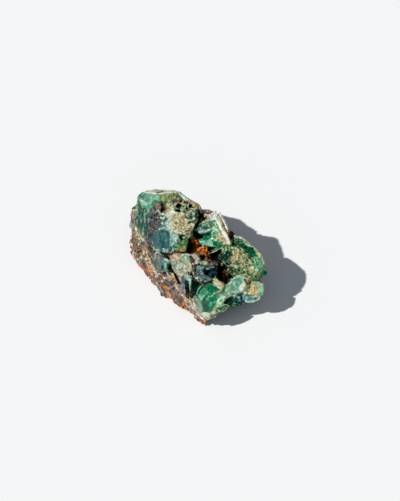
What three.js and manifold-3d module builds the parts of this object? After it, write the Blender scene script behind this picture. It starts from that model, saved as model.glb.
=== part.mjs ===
// A hand specimen of green fluorite on its rusty ironstone matrix, as broken from the vein.
// Millimetres, +Z up. It lies on the flat break under the matrix, with its long side along X.
import * as THREE from "three";
import { ConvexGeometry } from "three/addons/geometries/ConvexGeometry.js";
import { ImprovedNoise } from "three/addons/math/ImprovedNoise.js";
import { TessellateModifier } from "three/addons/modifiers/TessellateModifier.js";
import { mergeVertices } from "three/addons/utils/BufferGeometryUtils.js";
import Module from "manifold-3d";

const wasm = await Module();
wasm.setup();

// The specimen is described as it shows best: from above its front edge, turned a little.
const viewHeight = THREE.MathUtils.degToRad(60); // how far above the table the eye stands
const viewTurn = THREE.MathUtils.degToRad(43); // how far the eye is turned from the front

const contactGap = 0.3; // clearance where the fluorite sits on the matrix
const contactWave = 0.5; // how far the contact undulates
const contactCell = 5.6; // size of the contact's facets
const shortestEdge = 0.32; // finer edges than this are drawn together
const footShrink = 0.8; // how far a lump narrows on its way down
const footLean = 0.25; // how far its foot draws back from the eye, per millimetre of depth

// How the surface of each sort of lump is broken up: its facets and how far they stand out.
const finish = {
  crystal: null,
  crust: { facet: 3, lift: 0.45, size: 2.1 },
  rock: { facet: 3.3, lift: 0.85, size: 2.8 },
  back: { facet: 5.6, lift: 0.9, size: 3.6 },
  under: { facet: 9, lift: 0.9, size: 5 },
};

// Corners are across and up the view, then height above the table. A foot is how far below
// its corners the lump goes on.
const lumps = [
  {
    name: "left block",
    sort: "crystal",
    foot: 0,
    corners: [
      [-24.3, 24.3, 17.4], [-22.6, 25.7, 19], [-17, 26.5, 20.4], [-8.8, 26.1, 21.6],
      [-3.8, 22.3, 21.7], [0.5, 20.6, 21.1], [2.2, 17.5, 19.8], [-1.2, 11.5, 19],
      [-3.6, 7, 16.8], [-4.6, 1.6, 11.8], [-12, 1, 12], [-17.5, 2.2, 12], [-20.2, 7.5, 14.8],
      [-25.2, 17, 14.6], [-25.4, 11.8, 12], [-19.8, 18, 19.6], [-16.2, 22.3, 21.1],
      [-23.4, 21.5, 17.6],
    ],
    plan: [
      [-22, 20, 9], [-20, 17, 3], [-10, 21.5, 11], [-9, 18, 2], [0, 17, 12], [2, 11, 4],
      [-2, -3, 3], [-20, -2, 5], [-24, 8, 4],
    ],
  },
  {
    name: "sugary crust on the left block",
    sort: "crust",
    foot: 3,
    corners: [
      [-20.3, 16.6, 19.4], [-18.6, 19.6, 20.4], [-16.3, 21.6, 21.5], [-13, 21.2, 21.9],
      [-10.2, 22.6, 21.9], [-5, 22.6, 22.1], [-2, 21.7, 21.8], [0.4, 20.7, 21.2],
      [2.3, 17.6, 20], [-0.9, 11.5, 19.3], [-3.2, 8.4, 17.8], [-8, 8.6, 18.2],
      [-10.5, 10.4, 19.2], [-15, 10.8, 19], [-18, 9.4, 17.6], [-20.6, 8.6, 16.2],
      [-7, 15.5, 21.4], [-16.2, 15, 20.6],
    ],
  },
  {
    name: "ledge along the top edge",
    sort: "crystal",
    foot: 2.5,
    corners: [
      [-21.4, 26.1, 19.9], [-17.2, 26.8, 20.8], [-14, 26.3, 21.4], [-8.9, 26.4, 22],
      [-8.3, 25.6, 22.1], [-14, 25.1, 21.8], [-20, 25.4, 20.7],
    ],
  },
  {
    name: "bevel at the right of the top edge",
    sort: "crystal",
    foot: 3,
    corners: [
      [-8.7, 26.2, 22], [-7.2, 25.8, 21.9], [-4.4, 23.6, 21.8], [-3.8, 22.5, 21.8],
      [-5.6, 23, 22.3], [-7.8, 24.7, 22.4],
    ],
  },
  {
    name: "teal face",
    sort: "crystal",
    foot: 4,
    corners: [
      [-18.4, 8.6, 17], [-16.4, 10.2, 18.4], [-11.6, 10.8, 19], [-10.9, 7.5, 17.2],
      [-11, 2.8, 14], [-12, 1.2, 12.6], [-16.8, 1.8, 12.4], [-18.4, 4.5, 13.8],
    ],
  },
  {
    name: "step beside the teal face",
    sort: "crystal",
    foot: 4,
    corners: [
      [-10.6, 8, 17.8], [-8, 8.6, 18.3], [-4.2, 6.8, 17], [-4.6, 1.9, 12.8], [-9.8, 1.7, 12.8],
      [-10.6, 4.4, 14.8],
    ],
  },
  {
    name: "rusty bridge behind the wedge",
    sort: "crust",
    foot: 6,
    corners: [
      [0.9, 18.4, 19.8], [2.6, 17.7, 19.7], [4.3, 17.6, 19.7], [6.8, 18.1, 20.3],
      [6.4, 16.4, 20], [3.4, 15.4, 19.2], [1.8, 16.8, 19.4],
    ],
  },
  {
    name: "wedge",
    sort: "crystal",
    foot: 0,
    corners: [
      [7.3, 18.2, 20.6], [8.9, 16.8, 20.2], [12.2, 10.3, 19.4], [13.5, 7.2, 18],
      [12.9, 4.4, 18.4], [10.4, 3.9, 17.4], [6, 6.1, 17.2], [5.2, 9.8, 18.4],
      [2, 10.4, 17.8], [-1.5, 9.9, 16.5], [0.2, 12.5, 18], [4.4, 15.3, 19.8], [-1.9, 7, 13.4],
      [0.2, 5.4, 12.6], [9, 3, 14],
    ],
    plan: [[11, 8, 13], [14, -2, 11], [4, 6, 5], [2, -3, 5], [12, -6, 6], [10, 6, 6]],
  },
  {
    name: "frosted ridge of the wedge",
    sort: "crystal",
    foot: 3,
    corners: [
      [5.2, 16.5, 20.5], [7, 17.8, 21.2], [7.9, 16.7, 21.5], [9.9, 12, 21.2], [11.6, 8.2, 20.3],
      [13.4, 4.6, 19.2], [12.5, 4.1, 18.6], [10.5, 6, 19.1], [9.2, 8.2, 19.7],
      [8.2, 11.5, 20.5], [6.9, 14.4, 20.6], [5, 14.3, 20], [4.4, 15.4, 20],
    ],
  },
  {
    name: "outer band of the wedge",
    sort: "crystal",
    foot: 3,
    corners: [
      [7.4, 18.4, 20.8], [8.6, 17.5, 20.7], [10.5, 14, 20.3], [12.3, 10.4, 19.6],
      [12.9, 8, 18.8], [11.9, 8.7, 19.2], [10.6, 11.6, 20], [8.6, 15.8, 20.7],
    ],
  },
  {
    name: "lower lip of the wedge",
    sort: "crystal",
    foot: 3,
    corners: [
      [-0.1, 5.6, 13.6], [1.4, 6.3, 14.4], [5.8, 6.2, 15.8], [10, 5.1, 17], [9.6, 3.8, 16.2],
      [5.6, 3.7, 14.2], [2, 4.5, 13.2],
    ],
  },
  {
    name: "rusty knob behind the wedge",
    sort: "crust",
    foot: 7,
    corners: [
      [12.1, 10.5, 17], [13.5, 10.2, 17], [14.8, 9, 17], [15.3, 7.8, 17], [14, 6.8, 17.6],
      [12.6, 7.4, 18.2], [13.6, 4.2, 17],
    ],
  },
  {
    name: "rust in the hollow",
    sort: "crust",
    foot: 6,
    corners: [
      [-1.9, 7, 11.6], [-0.7, 6.9, 12], [0, 5, 11.7], [2, 4.3, 11.8], [4.6, 3.1, 11.8],
      [4.8, 1.4, 10.8], [2.8, 1.2, 10.2], [0.4, 1, 10.2], [-1.8, 1.2, 10.4],
      [-2.2, 2.6, 10.6], [-1.9, 4.4, 11.2],
    ],
  },
  {
    name: "blade over the hollow",
    sort: "crystal",
    foot: 1.6,
    corners: [
      [3.8, 0.7, 12.4], [4.1, 1.5, 12.7], [6.5, 2.7, 14.3], [10.4, 4.2, 16.8],
      [10.6, 3.4, 16.4], [6.9, 1.9, 13.6],
    ],
  },
  {
    name: "brown ridge in the hollow",
    sort: "crust",
    foot: 6,
    corners: [
      [3.2, -0.2, 10.8], [4.4, 0, 11.4], [5.4, -1.2, 11.8], [8, -2.4, 12.2], [8.2, -4, 12.6],
      [5, -4.4, 13], [1, -4.2, 13.2], [0.8, -2, 12.4], [3, -2, 12.2],
    ],
  },
  {
    name: "shelf left of the hollow",
    sort: "crust",
    foot: 5,
    corners: [
      [-4.8, 2.2, 11.6], [-3.4, 2.2, 11.4], [-0.8, 1.2, 11.2], [0.4, 0.2, 11.4],
      [-1, -1, 12.4], [-4.4, 0, 13],
    ],
  },
  {
    name: "right lobe",
    sort: "crystal",
    foot: 0,
    corners: [
      [13.9, 8, 17.4], [16.8, 8.1, 17.6], [20, 5.8, 18], [23, 3.2, 17.8], [25.4, 0.6, 16.5],
      [26.5, -2.6, 15.3], [26.7, -5.3, 14.2], [25.3, -9, 12.6], [23.8, -6, 15.6],
      [22.6, -2.8, 17.2], [20.4, 0.6, 18.4], [18, 3.2, 18.8], [14.6, 5.4, 18.7],
    ],
    plan: [
      [18, -2, 11], [14, -4, 6], [24, -7, 8], [26, -9, 11], [23, -13, 6], [17, -13, 5],
      [18, -6, 5],
    ],
  },
  {
    name: "sugary crust on the right lobe",
    sort: "crust",
    foot: 5,
    corners: [
      [12.8, 4.4, 18.6], [15, 3.8, 19], [17.6, 1.8, 19], [20, -0.8, 18.4],
      [22.2, -2.6, 17.5], [24.4, -6, 15.4], [24.2, -9.2, 13.8], [19.6, -9.2, 14.9],
      [17.6, -7.9, 15.8], [14, -8, 15.2], [12, -6, 15.1], [11, -3, 15.6], [11.6, 1, 17.2],
      [17, -2.6, 18.4],
    ],
  },
  {
    name: "wall between hollow and right lobe",
    sort: "crystal",
    foot: 7,
    corners: [
      [8, -0.2, 12.8], [9.2, 2.6, 15.6], [10.4, 4.2, 17.2], [13, 4.6, 18.4], [13.6, 1, 18.2],
      [12.2, -3, 16], [11.8, -8.4, 13.8], [10.6, -4, 13.4], [8.6, -1.8, 12.6],
    ],
  },
  {
    name: "nub on the right edge",
    sort: "crystal",
    foot: 2.4,
    lean: 0.6,
    corners: [
      [25, -5.9, 13.2], [26.2, -5.7, 13.3], [27.5, -6.1, 12.6], [27.6, -7, 12.2],
      [26.6, -7.9, 11.8], [25, -7.6, 12.3],
    ],
  },
  {
    name: "dome of the low lobe",
    sort: "crystal",
    foot: 8,
    corners: [
      [12.1, -10.5, 13.8], [13.9, -8.8, 14.8], [16, -8, 15.2], [17.9, -8.7, 15.2],
      [18.9, -10.8, 14.8], [18.4, -12.8, 14.1], [16.5, -14.4, 12.8], [13.6, -14.6, 12.2],
      [12, -13, 12.9], [15.2, -10.8, 15.2],
    ],
  },
  {
    name: "slope left of the dome",
    sort: "crystal",
    foot: 8,
    corners: [
      [9.9, -11.8, 13.4], [12.4, -10.6, 13.8], [13.8, -14, 12.5], [13.2, -15.5, 11.5],
      [10.8, -17.2, 10.4], [9.6, -14.8, 12],
    ],
  },
  {
    name: "stained end of the low lobe",
    sort: "crust",
    foot: 6,
    lean: 0.6,
    corners: [
      [19, -9.2, 14.1], [21.5, -9, 13.6], [24.6, -9.2, 12.6], [26.1, -10.9, 12], [26.3, -13.4, 11.4],
      [25.6, -15.3, 10.6], [23.6, -15.7, 10.8], [21, -15.5, 11.2], [18.6, -15.3, 11.6],
      [17.4, -13.4, 12.8], [18.6, -11.6, 14.2],
    ],
  },
  {
    name: "glassy rim of the low lobe",
    sort: "crystal",
    foot: 4.5,
    lean: 0.6,
    corners: [
      [17, -15, 11], [21, -15.4, 10.9], [24.8, -15.6, 10.4], [25, -16.6, 9.7],
      [23.8, -17.8, 9.1], [21.6, -18.5, 8.6], [19.4, -18.5, 8.6], [17, -17.2, 9.4],
    ],
  },
  {
    name: "dark crystal under the low lobe",
    sort: "crystal",
    foot: 4,
    lean: 0.6,
    corners: [
      [14.8, -14.8, 11.5], [16.6, -14.9, 11.3], [17.9, -16.4, 10.2], [18.8, -18, 8.6],
      [17.2, -19.4, 7.6], [15, -20.2, 6.8], [12, -20.2, 7], [9.4, -18.6, 8.4],
      [12, -16.8, 9.9], [13.4, -15.8, 10.8],
    ],
  },
  {
    name: "emerald crystal",
    sort: "crystal",
    foot: 8,
    corners: [
      [0, -12.4, 12.9], [1.2, -11.4, 13.7], [2.8, -10.8, 14.3], [4.6, -10.6, 14.7],
      [6.5, -11.2, 14.5], [9.4, -12.9, 13.2], [9.9, -14, 12.6], [8.6, -16.4, 11.4],
      [6.6, -19.6, 9.8], [5, -22, 8.2], [3.6, -22.5, 7.4], [1.8, -21.6, 7.4], [0.2, -18.6, 8.6],
      [-0.9, -15.6, 10.4], [3.4, -14, 13.5],
    ],
  },
  {
    name: "cream wedge above the emerald crystal",
    sort: "crust",
    foot: 6,
    corners: [
      [5.6, -10.4, 14], [7, -8.4, 14.2], [7.8, -8, 14.2], [9.6, -10, 13.7], [10.9, -11.6, 13.3],
      [10.5, -13.3, 12.8], [9, -12.5, 13.6], [6.8, -11.1, 14.6],
    ],
  },
  {
    name: "pale strip right of the emerald crystal",
    sort: "crystal",
    foot: 6,
    corners: [
      [10.7, -14.4, 12.3], [11.1, -16.4, 11.4], [9.7, -18.7, 10.4], [7.2, -21.7, 8.8],
      [5.2, -24.4, 6.9], [4.6, -23.4, 7], [6.4, -20.4, 9.4], [8.2, -17.4, 11], [9.7, -14.8, 12.2],
    ],
  },
  {
    name: "small crystal beside the strip",
    sort: "crystal",
    foot: 3,
    lean: 0.6,
    corners: [
      [9.4, -18.5, 10], [10.6, -18.9, 9.9], [12.4, -19.5, 9.2], [11.3, -21.2, 8.6],
      [9, -23, 7.9], [6, -24.7, 6.7], [5.4, -24, 6.8], [7.2, -21.5, 8.8],
    ],
  },
  {
    name: "frosted rim under the emerald crystal",
    sort: "crust",
    foot: 4,
    lean: 0.6,
    corners: [
      [-1.9, -15.7, 9.4], [-0.9, -17.5, 8.8], [0.4, -20.6, 7.4], [2, -22.3, 6.9],
      [4.8, -22.8, 7], [5.7, -24.7, 6], [3.6, -25.9, 4], [1.4, -24.6, 4.2],
      [-0.6, -22, 5.2], [-2.2, -18.6, 7], [-2.4, -16.8, 8.6],
    ],
  },
  {
    name: "dark crystal in the middle",
    sort: "crystal",
    foot: 8,
    corners: [
      [-1.9, -5, 13.6], [-1, -4, 14.1], [1.5, -3.6, 14.9], [5, -3.7, 15.3], [7.2, -4.6, 14.9],
      [7.7, -6.4, 14.1], [6.9, -8.8, 13.1], [4, -10.1, 12.5], [0.5, -9.9, 12.3],
      [-1.6, -8, 12.5], [1.5, -6, 14.6], [5.6, -6, 14.8],
    ],
  },
  {
    name: "pale crust in the middle",
    sort: "crust",
    foot: 7,
    corners: [
      [-10.4, 0.9, 13], [-6.8, 1.4, 14], [-4.4, 0.8, 14.6], [-3, -1, 15], [-2.9, -3.2, 14.6],
      [-2.4, -5.4, 13.8], [-3, -7.4, 12.5], [-6.4, -7.7, 11.6], [-9, -6.4, 11.2],
      [-10.8, -4.4, 11.6], [-11.6, -1.8, 12.4], [-7, -2.5, 14.4],
    ],
  },
  {
    name: "round crystal on the pale crust",
    sort: "crystal",
    foot: 3,
    corners: [
      [-6.4, 0.8, 14.6], [-4.6, 1, 15], [-3.3, -0.2, 15.2], [-3.1, -1.8, 15.2],
      [-4.2, -2.8, 15], [-6, -2.4, 14.9], [-6.8, -0.8, 14.7], [-4.8, -0.8, 15.8],
    ],
  },
  {
    name: "cream knob by the hollow",
    sort: "crust",
    foot: 6,
    corners: [
      [-3.2, 0.8, 13.2], [-1, 0.5, 13], [0.6, -0.9, 12.8], [0.9, -2.2, 12.9],
      [-0.2, -3.6, 13.4], [-2.8, -3.2, 14],
    ],
  },
  {
    name: "teal crystals on the left",
    sort: "crystal",
    foot: 6,
    corners: [
      [-18.8, 1.4, 11.6], [-15.8, 1.6, 12.5], [-13.4, 0.4, 12.9], [-11.8, -1.6, 12.9],
      [-11.3, -3.4, 12.4], [-12, -5.6, 11.3], [-13.2, -6.9, 10.5], [-16, -6.4, 10.1],
      [-18.2, -3.6, 10.5],
    ],
  },
  {
    name: "left blade of the slot",
    sort: "crystal",
    foot: 5,
    corners: [
      [-7.2, -7.6, 11.5], [-5, -7.6, 12], [-5.2, -10.5, 10.7], [-4.7, -15.6, 7.8],
      [-5.6, -15.2, 8], [-6.4, -11, 9.8],
    ],
  },
  {
    name: "blade between the slots",
    sort: "crystal",
    foot: 5,
    corners: [
      [-4.6, -7.6, 12.3], [-2.4, -7.6, 12.8], [-2.5, -10.5, 11.6], [-3, -14.4, 9],
      [-3.6, -14, 9.2], [-4.2, -10.5, 11.2],
    ],
  },
  {
    name: "core under the middle",
    sort: "under",
    foot: 0,
    corners: [],
    plan: [
      [-15, -2, 10.4], [-13, -6.5, 10.2], [-5, -14, 9], [1, -17.5, 8.6], [9, -19, 8.2],
      [14, -12, 9.4], [9, -6, 9.6], [-2, -4, 9.8], [-14, 0, 5], [-4, -14, 5], [8, -20, 5],
      [14, -12, 5], [9, -3, 5],
    ],
  },
  {
    name: "core under the low lobe",
    sort: "under",
    foot: 0,
    corners: [],
    plan: [
      [10.5, -23.2, 6.4], [14, -22.5, 5.6], [18, -22.6, 7.2], [21, -20.5, 6.4], [24, -17, 7.4], [23, -14, 9.6],
      [18, -14, 10.4], [12, -15, 10], [7, -19, 7], [10, -19, 2.8], [18, -16, 3.2],
      [22, -13, 5], [14, -10, 3],
    ],
  },
  {
    name: "broken back of the left block",
    sort: "back",
    foot: 0,
    corners: [],
    plan: [
      [-20.5, 18.4, 7], [-19.5, 20.4, 13], [-9, 21.8, 13.6], [-10, 21.4, 6], [-3, 17.2, 13],
      [-2, 17, 6], [-13, 19.6, 16.6], [-7, 18.6, 2.2], [-17, 17, 2.4], [-8, 10, 8],
      [-18, 10, 8],
    ],
  },
  {
    name: "broken back of the wedge",
    sort: "back",
    foot: 0,
    corners: [],
    plan: [
      [1, 13.4, 12], [5, 12, 13.6], [9.6, 7.6, 13], [12.6, 2.4, 13], [12.6, 3, 7], [8, 8, 4],
      [1, 12.6, 4.4], [2, 4, 8], [9, 0, 8],
    ],
  },
  {
    name: "broken back of the right lobe",
    sort: "back",
    foot: 0,
    corners: [],
    plan: [
      [14.6, 0, 13.4], [18.6, -0.2, 13], [23.4, -5, 12.6], [26.2, -10, 10.6], [25, -11.6, 6.6],
      [20, -5, 5.6], [14, 0, 6], [14, -8, 6], [21, -12, 7],
    ],
  },
  {
    name: "left end of the flank",
    sort: "rock",
    foot: 0,
    corners: [
      [-27.6, 7, 7.2], [-27.3, 3, 4.8], [-26.5, -0.6, 2.8], [-24.6, -3.5, 1.8],
      [-22, -6.1, 1.4], [-20.3, -8.1, 1.3], [-25.6, 12, 11.3], [-20.8, 6.4, 13],
      [-18.8, 1, 12.2], [-17.8, -2.6, 10.8], [-23, 1, 8.2],
    ],
    plan: [[-16, 0, 1], [-22, 8, 3], [-19, -3, -1]],
  },
  {
    name: "middle of the flank",
    sort: "rock",
    foot: 0,
    corners: [
      [-20, -7.8, 1.4], [-18.5, -9.5, 1.3], [-16.5, -12.7, 1.2], [-14.2, -15.8, 1.2],
      [-10, -17.8, 1.2], [-17.8, -2.6, 10.8], [-15.4, -6.8, 9.9], [-10.4, -7.2, 10],
      [-6.9, -10.6, 9.2], [-14, -11, 7.2],
    ],
    plan: [[-10, -4, 1], [-6, -12, 1], [-13, -12, -1]],
  },
  {
    name: "right of the flank",
    sort: "rock",
    foot: 0,
    corners: [
      [-11, -17.4, 1.2], [-9, -18.5, 1.2], [-7.6, -20.7, 1.8], [-4.7, -21.3, 2],
      [-6.9, -10.6, 9.2], [-5.2, -15.4, 8], [-3.2, -18.2, 6.6], [-8, -15.5, 5.8],
    ],
    plan: [[-6, -12, 1], [0, -18, 1]],
  },
  {
    name: "lower tip",
    sort: "rock",
    foot: 0,
    corners: [
      [-4.3, -21.2, 2], [-2.4, -23.5, 1.6], [0, -26.1, 1.2], [2, -27, 1.1], [3.8, -26.6, 1.3],
      [-3.2, -18.2, 6.6], [-0.8, -21.6, 5], [2.4, -25.3, 3], [-2, -22, 4],
    ],
    plan: [[0, -18, 1], [6, -24, 1]],
  },
  {
    name: "left rim",
    sort: "rock",
    foot: 0,
    corners: [
      [-27.6, 15.5, 8.8], [-26.3, 20.2, 11.2], [-25, 21, 12.6], [-27.7, 12.5, 8.2],
      [-26.9, 9.6, 8.4], [-24.6, 12, 12.2], [-24.4, 18, 13.4],
    ],
    plan: [[-22, 10, 3], [-20, 14, 3]],
  },
  {
    name: "foot of the specimen",
    sort: "under",
    foot: 0,
    corners: [],
    plan: [
      [-19, 3, -1.5], [-14, -10, -1.5], [-5, -20, -1.5], [1, -26, -1.5], [7, -20, -1.5],
      [9, -8, -1.5], [3, 6, -1.5], [-8, 13, -1.5], [-17, 12, -1.5], [-24, 4, 5.6],
      [-16, -12, 5.6], [-6, -22, 5], [2, -28, 4], [12, -20, 5], [17, -8, 6], [9, 6, 6],
      [-4, 16, 6], [-18, 18, 6],
    ],
  },
];

// Notches broken out of the fluorite, with corners as for the lumps.
const notches = [
  {
    name: "broken-out step under the top facets of the wedge",
    foot: 3,
    corners: [
      [-1.6, 9.4, 17.6], [0.6, 9.6, 18.4], [3.4, 9.2, 18.8], [5.4, 9.8, 19.4],
      [5.8, 7.4, 18.4], [1.6, 7.2, 16], [-1.6, 7.4, 15.2],
    ],
  },
  {
    name: "hollow under the blade",
    foot: 3,
    corners: [
      [5, 0.8, 13.4], [9.4, 2.6, 15.8], [9.8, -0.6, 14.6], [7.4, -2, 13.2], [4.6, -0.4, 12.6],
    ],
  },
  {
    name: "hollow left of the right lobe",
    foot: 4,
    corners: [
      [7.9, -3.2, 13.4], [10.2, -3.4, 14.4], [11.2, -8.6, 13.8], [10.4, -10.6, 13.2],
      [8.4, -9.4, 13],
    ],
  },
  {
    name: "slot beside the emerald crystal",
    foot: 3,
    corners: [
      [-2.3, -10.2, 12], [-0.4, -10.2, 12.4], [-0.6, -13.4, 10.8], [-2.2, -15.4, 9],
      [-2.9, -14, 9.2],
    ],
  },
  {
    name: "slot left of the blade",
    foot: 3,
    corners: [
      [-4.9, -10.2, 11.4], [-4.3, -10.2, 11.6], [-3.9, -14.4, 9.2], [-4.4, -16, 8],
      [-4.9, -14.6, 8.8],
    ],
  },
  {
    name: "yellow slit",
    foot: 2.5,
    corners: [
      [-9.9, -6.4, 12], [-9, -6.6, 12.2], [-6.7, -10.8, 10.4], [-7.2, -11.2, 10],
    ],
  },
];

// The upper edge of the flank, where the contact comes out: along, across and height.
const contactEdge = [
  [-30, -10, 11], [-23, -12, 12.4], [-14.6, -14.4, 12.6], [-9.5, -17.2, 11.8],
  [-6.5, -19, 10.8], [-1.5, -20.6, 9.4], [3, -18.6, 9.3], [7, -18, 9], [11.5, -19.6, 8],
  [18.5, -21.6, 5.6], [23, -20.5, 3], [40, -20, 0],
];

// Low mounds and grains on the matrix: middle, half length along the flank, half width.
const mounds = [
  [-26.6, 16.6, 9.6, 1.1, 0.9], [-27, 12.6, 9, 1.1, 0.8], [-26, 19, 11, 1.3, 0.8],
  [-25.9, 9.6, 9.8, 1.2, 0.9], [-25.4, 5.4, 8.2, 1.9, 1], [-23.6, 7, 10.6, 1.6, 1],
  [-25.6, 1.6, 5.4, 1.8, 1], [-22.8, 2.6, 8.6, 2, 1], [-22.9, -1.6, 5.4, 2.2, 1.1],
  [-20.4, -1, 8.4, 2, 1], [-20.6, -4.6, 4.8, 2, 1], [-17.8, -6.4, 7, 2.2, 1],
  [-17.4, -9.2, 3.6, 2.2, 1], [-14.6, -9.6, 7.6, 2, 1.1], [-14.4, -13, 4, 2.2, 1.1],
  [-11.4, -11.4, 7.6, 2.2, 1], [-11.4, -15.4, 3.8, 2.4, 1], [-8.6, -14, 7, 2, 1],
  [-7, -18, 4, 2.2, 1], [-4.8, -19.4, 4.4, 1.4, 1], [-2.6, -21.8, 3.6, 1.8, 0.8],
  [0.6, -24.6, 2.6, 1.6, 0.8],
];

// Pits that go into the crust: across, up, height of their mouth, radius, depth.
const pits = [
  [-7.8, 20.1, 22.2, 1.15, 1.8], [-8, 18, 21.9, 0.8, 1.3], [-3.1, 20, 22, 0.75, 1.4],
  [-4.3, 19, 22, 0.6, 1], [-14, 18.4, 21.4, 0.8, 1.6], [-14.3, 20.8, 21.8, 0.7, 1.2],
  [-17.2, 15.4, 20.6, 0.8, 1], [-6.8, 7.6, 18.2, 0.8, 1.3], [3.9, -6.4, 15, 1.7, 1.8],
  [15.6, -2.8, 19.4, 0.8, 1], [14.8, -5.6, 17.6, 0.9, 1.2], [24.9, -10.2, 13, 0.8, 1.6],
  [-14.2, -4.4, 12, 0.8, 1.2], [-2.6, -6.6, 13.2, 0.6, 1], [17.8, -6.2, 17.4, 0.6, 0.9],
];

const noise = new ImprovedNoise();

// A point on the table's plan, across and away from the eye, and its height.
function plan(across, away, height) {
  const c = Math.cos(viewTurn);
  const s = Math.sin(viewTurn);
  return new THREE.Vector3(c * across - s * away, s * across + c * away, height);
}

// A point as the eye sees it, across and up the view, and its height above the table.
function seen(across, up, height) {
  const away = (up - height * Math.cos(viewHeight)) / Math.sin(viewHeight);
  return plan(across, away, height);
}

// The closed solid of a three.js geometry.
function solidOf(geometry) {
  const bare = new THREE.BufferGeometry();
  bare.setAttribute("position", geometry.getAttribute("position"));
  if (geometry.index) bare.setIndex(geometry.index);
  const merged = mergeVertices(bare, 1e-4);
  return new wasm.Manifold(
    new wasm.Mesh({
      numProp: 3,
      vertProperties: merged.attributes.position.array,
      triVerts: new Uint32Array(merged.index.array),
    }),
  );
}

// The faces of a solid as a three.js geometry.
function facesOf(solid) {
  const mesh = solid.getMesh();
  const geometry = new THREE.BufferGeometry();
  geometry.setAttribute("position", new THREE.Float32BufferAttribute(mesh.vertProperties, 3));
  geometry.setIndex(new THREE.BufferAttribute(new Uint32Array(mesh.triVerts), 1));
  return geometry;
}

// Breaks a surface up into facets and pushes their corners about, as a rough break looks.
function roughen(geometry, look) {
  if (!look) return geometry;
  const split = new TessellateModifier(look.facet, 40).modify(geometry);
  const place = split.getAttribute("position");
  const p = new THREE.Vector3();
  const push = new THREE.Vector3();
  for (let i = 0; i < place.count; i += 1) {
    p.fromBufferAttribute(place, i);
    const q = p.clone().divideScalar(look.size);
    push.x = noise.noise(q.x + 31.4, q.y, q.z);
    push.y = noise.noise(q.x, q.y + 47.1, q.z);
    push.z = noise.noise(q.x, q.y, q.z + 62.8);
    p.addScaledVector(push, 1.6 * look.lift);
    place.setXYZ(i, p.x, p.y, p.z);
  }
  return split;
}

// The corners of a lump's foot, lowered, drawn in towards its middle and back from the eye.
function footOf(corners, depth, lean = footLean) {
  const middle = new THREE.Vector3();
  corners.forEach((p) => middle.addScaledVector(p, 1 / corners.length));
  return corners.map((p) => {
    const low = middle.clone().lerp(p, footShrink);
    low.z = p.z - depth;
    return low.add(plan(0, lean * depth, 0));
  });
}

// A lump: the tightest solid round its corners, broken up as its sort asks.
function lumpSolid(lump) {
  const top = lump.corners.map((p) => seen(...p));
  const foot = lump.foot ? footOf(top, lump.foot, lump.lean) : [];
  const low = (lump.plan ?? []).map((p) => plan(...p));
  const hull = new ConvexGeometry([...top, ...foot, ...low]);
  hull.deleteAttribute("normal");
  return solidOf(roughen(hull, finish[lump.sort]));
}

// A mound on the matrix, longer along the flank than across it, with a blunt uneven top.
function moundSolid([across, up, height, length, width]) {
  const middle = seen(across, up, height);
  const corners = [];
  for (let k = 0; k < 6; k += 1) {
    const turn = (k / 6) * 2 * Math.PI + across;
    const uneven = 1 + 0.9 * noise.noise(across, up, 2.7 * k);
    const x = Math.cos(turn) * length * uneven;
    const y = Math.sin(turn) * width * uneven;
    corners.push(new THREE.Vector3(x, y, y - 0.4).add(middle));
    corners.push(new THREE.Vector3(0.5 * x, 0.4 * y - 0.4, 0.5 * y + 0.5 * uneven).add(middle));
    corners.push(new THREE.Vector3(0.8 * x, y + 2.2, y - 2.5).add(middle));
  }
  return solidOf(new ConvexGeometry(corners));
}

// The room of a pit: a small many-sided cone that narrows into the crust.
function pitRoom([across, up, height, radius, depth]) {
  const mouth = seen(across, up, height);
  const corners = [];
  for (let k = 0; k < 7; k += 1) {
    const turn = (k / 7) * 2 * Math.PI + across;
    const x = Math.cos(turn) * radius;
    const y = Math.sin(turn) * radius;
    corners.push(new THREE.Vector3(x * 1.25, y * 1.1, 2).add(mouth));
    corners.push(new THREE.Vector3(x * 0.6, y * 0.6 + 0.3, -depth).add(mouth));
  }
  return solidOf(new ConvexGeometry(corners));
}

// The place and height of the flank's upper edge at a distance along the specimen.
function edgeAt(x) {
  const held = THREE.MathUtils.clamp(x, contactEdge[0][0] + 0.01, contactEdge.at(-1)[0]);
  const k = contactEdge.findIndex((p) => p[0] >= held);
  const before = contactEdge[k - 1];
  const after = contactEdge[k];
  const part = (held - before[0]) / (after[0] - before[0]);
  return [1, 2].map((i) => THREE.MathUtils.lerp(before[i], after[i], part));
}

// The height of the contact between matrix and fluorite at a place on the plan. It drops
// away from the upper edge of the flank and evens out under the crystals.
function contactHeight(x, y) {
  const [edgeY, edgeZ] = edgeAt(x);
  const behind = THREE.MathUtils.clamp(y - edgeY, -3, 7);
  const wave = noise.noise(x / 7 + 3, y / 7, 1.5) * 1.6 * contactWave;
  return Math.max(2.6, edgeZ - 0.9 * behind + wave);
}

// Everything below the contact, raised or lowered a little.
function belowContact(lift) {
  const wide = 100;
  const deep = 80;
  const across = Math.round(wide / contactCell);
  const along = Math.round(deep / contactCell);
  const block = new THREE.BoxGeometry(wide, deep, 40, across, along, 1);
  const place = block.getAttribute("position");
  for (let i = 0; i < place.count; i += 1) {
    if (place.getZ(i) < 0) continue;
    place.setZ(i, contactHeight(place.getX(i), place.getY(i)) + lift);
  }
  return solidOf(block);
}

// The whole rock, before the fluorite is parted from the matrix.
function rockSolid() {
  let rock = lumps.map(lumpSolid).reduce((sum, next) => sum.add(next));
  rock = mounds.map(moundSolid).reduce((sum, next) => sum.add(next), rock);
  rock = notches.map(lumpSolid).reduce((left, notch) => left.subtract(notch), rock);
  rock = pits.map(pitRoom).reduce((left, room) => left.subtract(room), rock);
  const table = new THREE.BoxGeometry(140, 140, 30).translate(0, 0, -15);
  return rock.subtract(solidOf(table));
}

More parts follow.
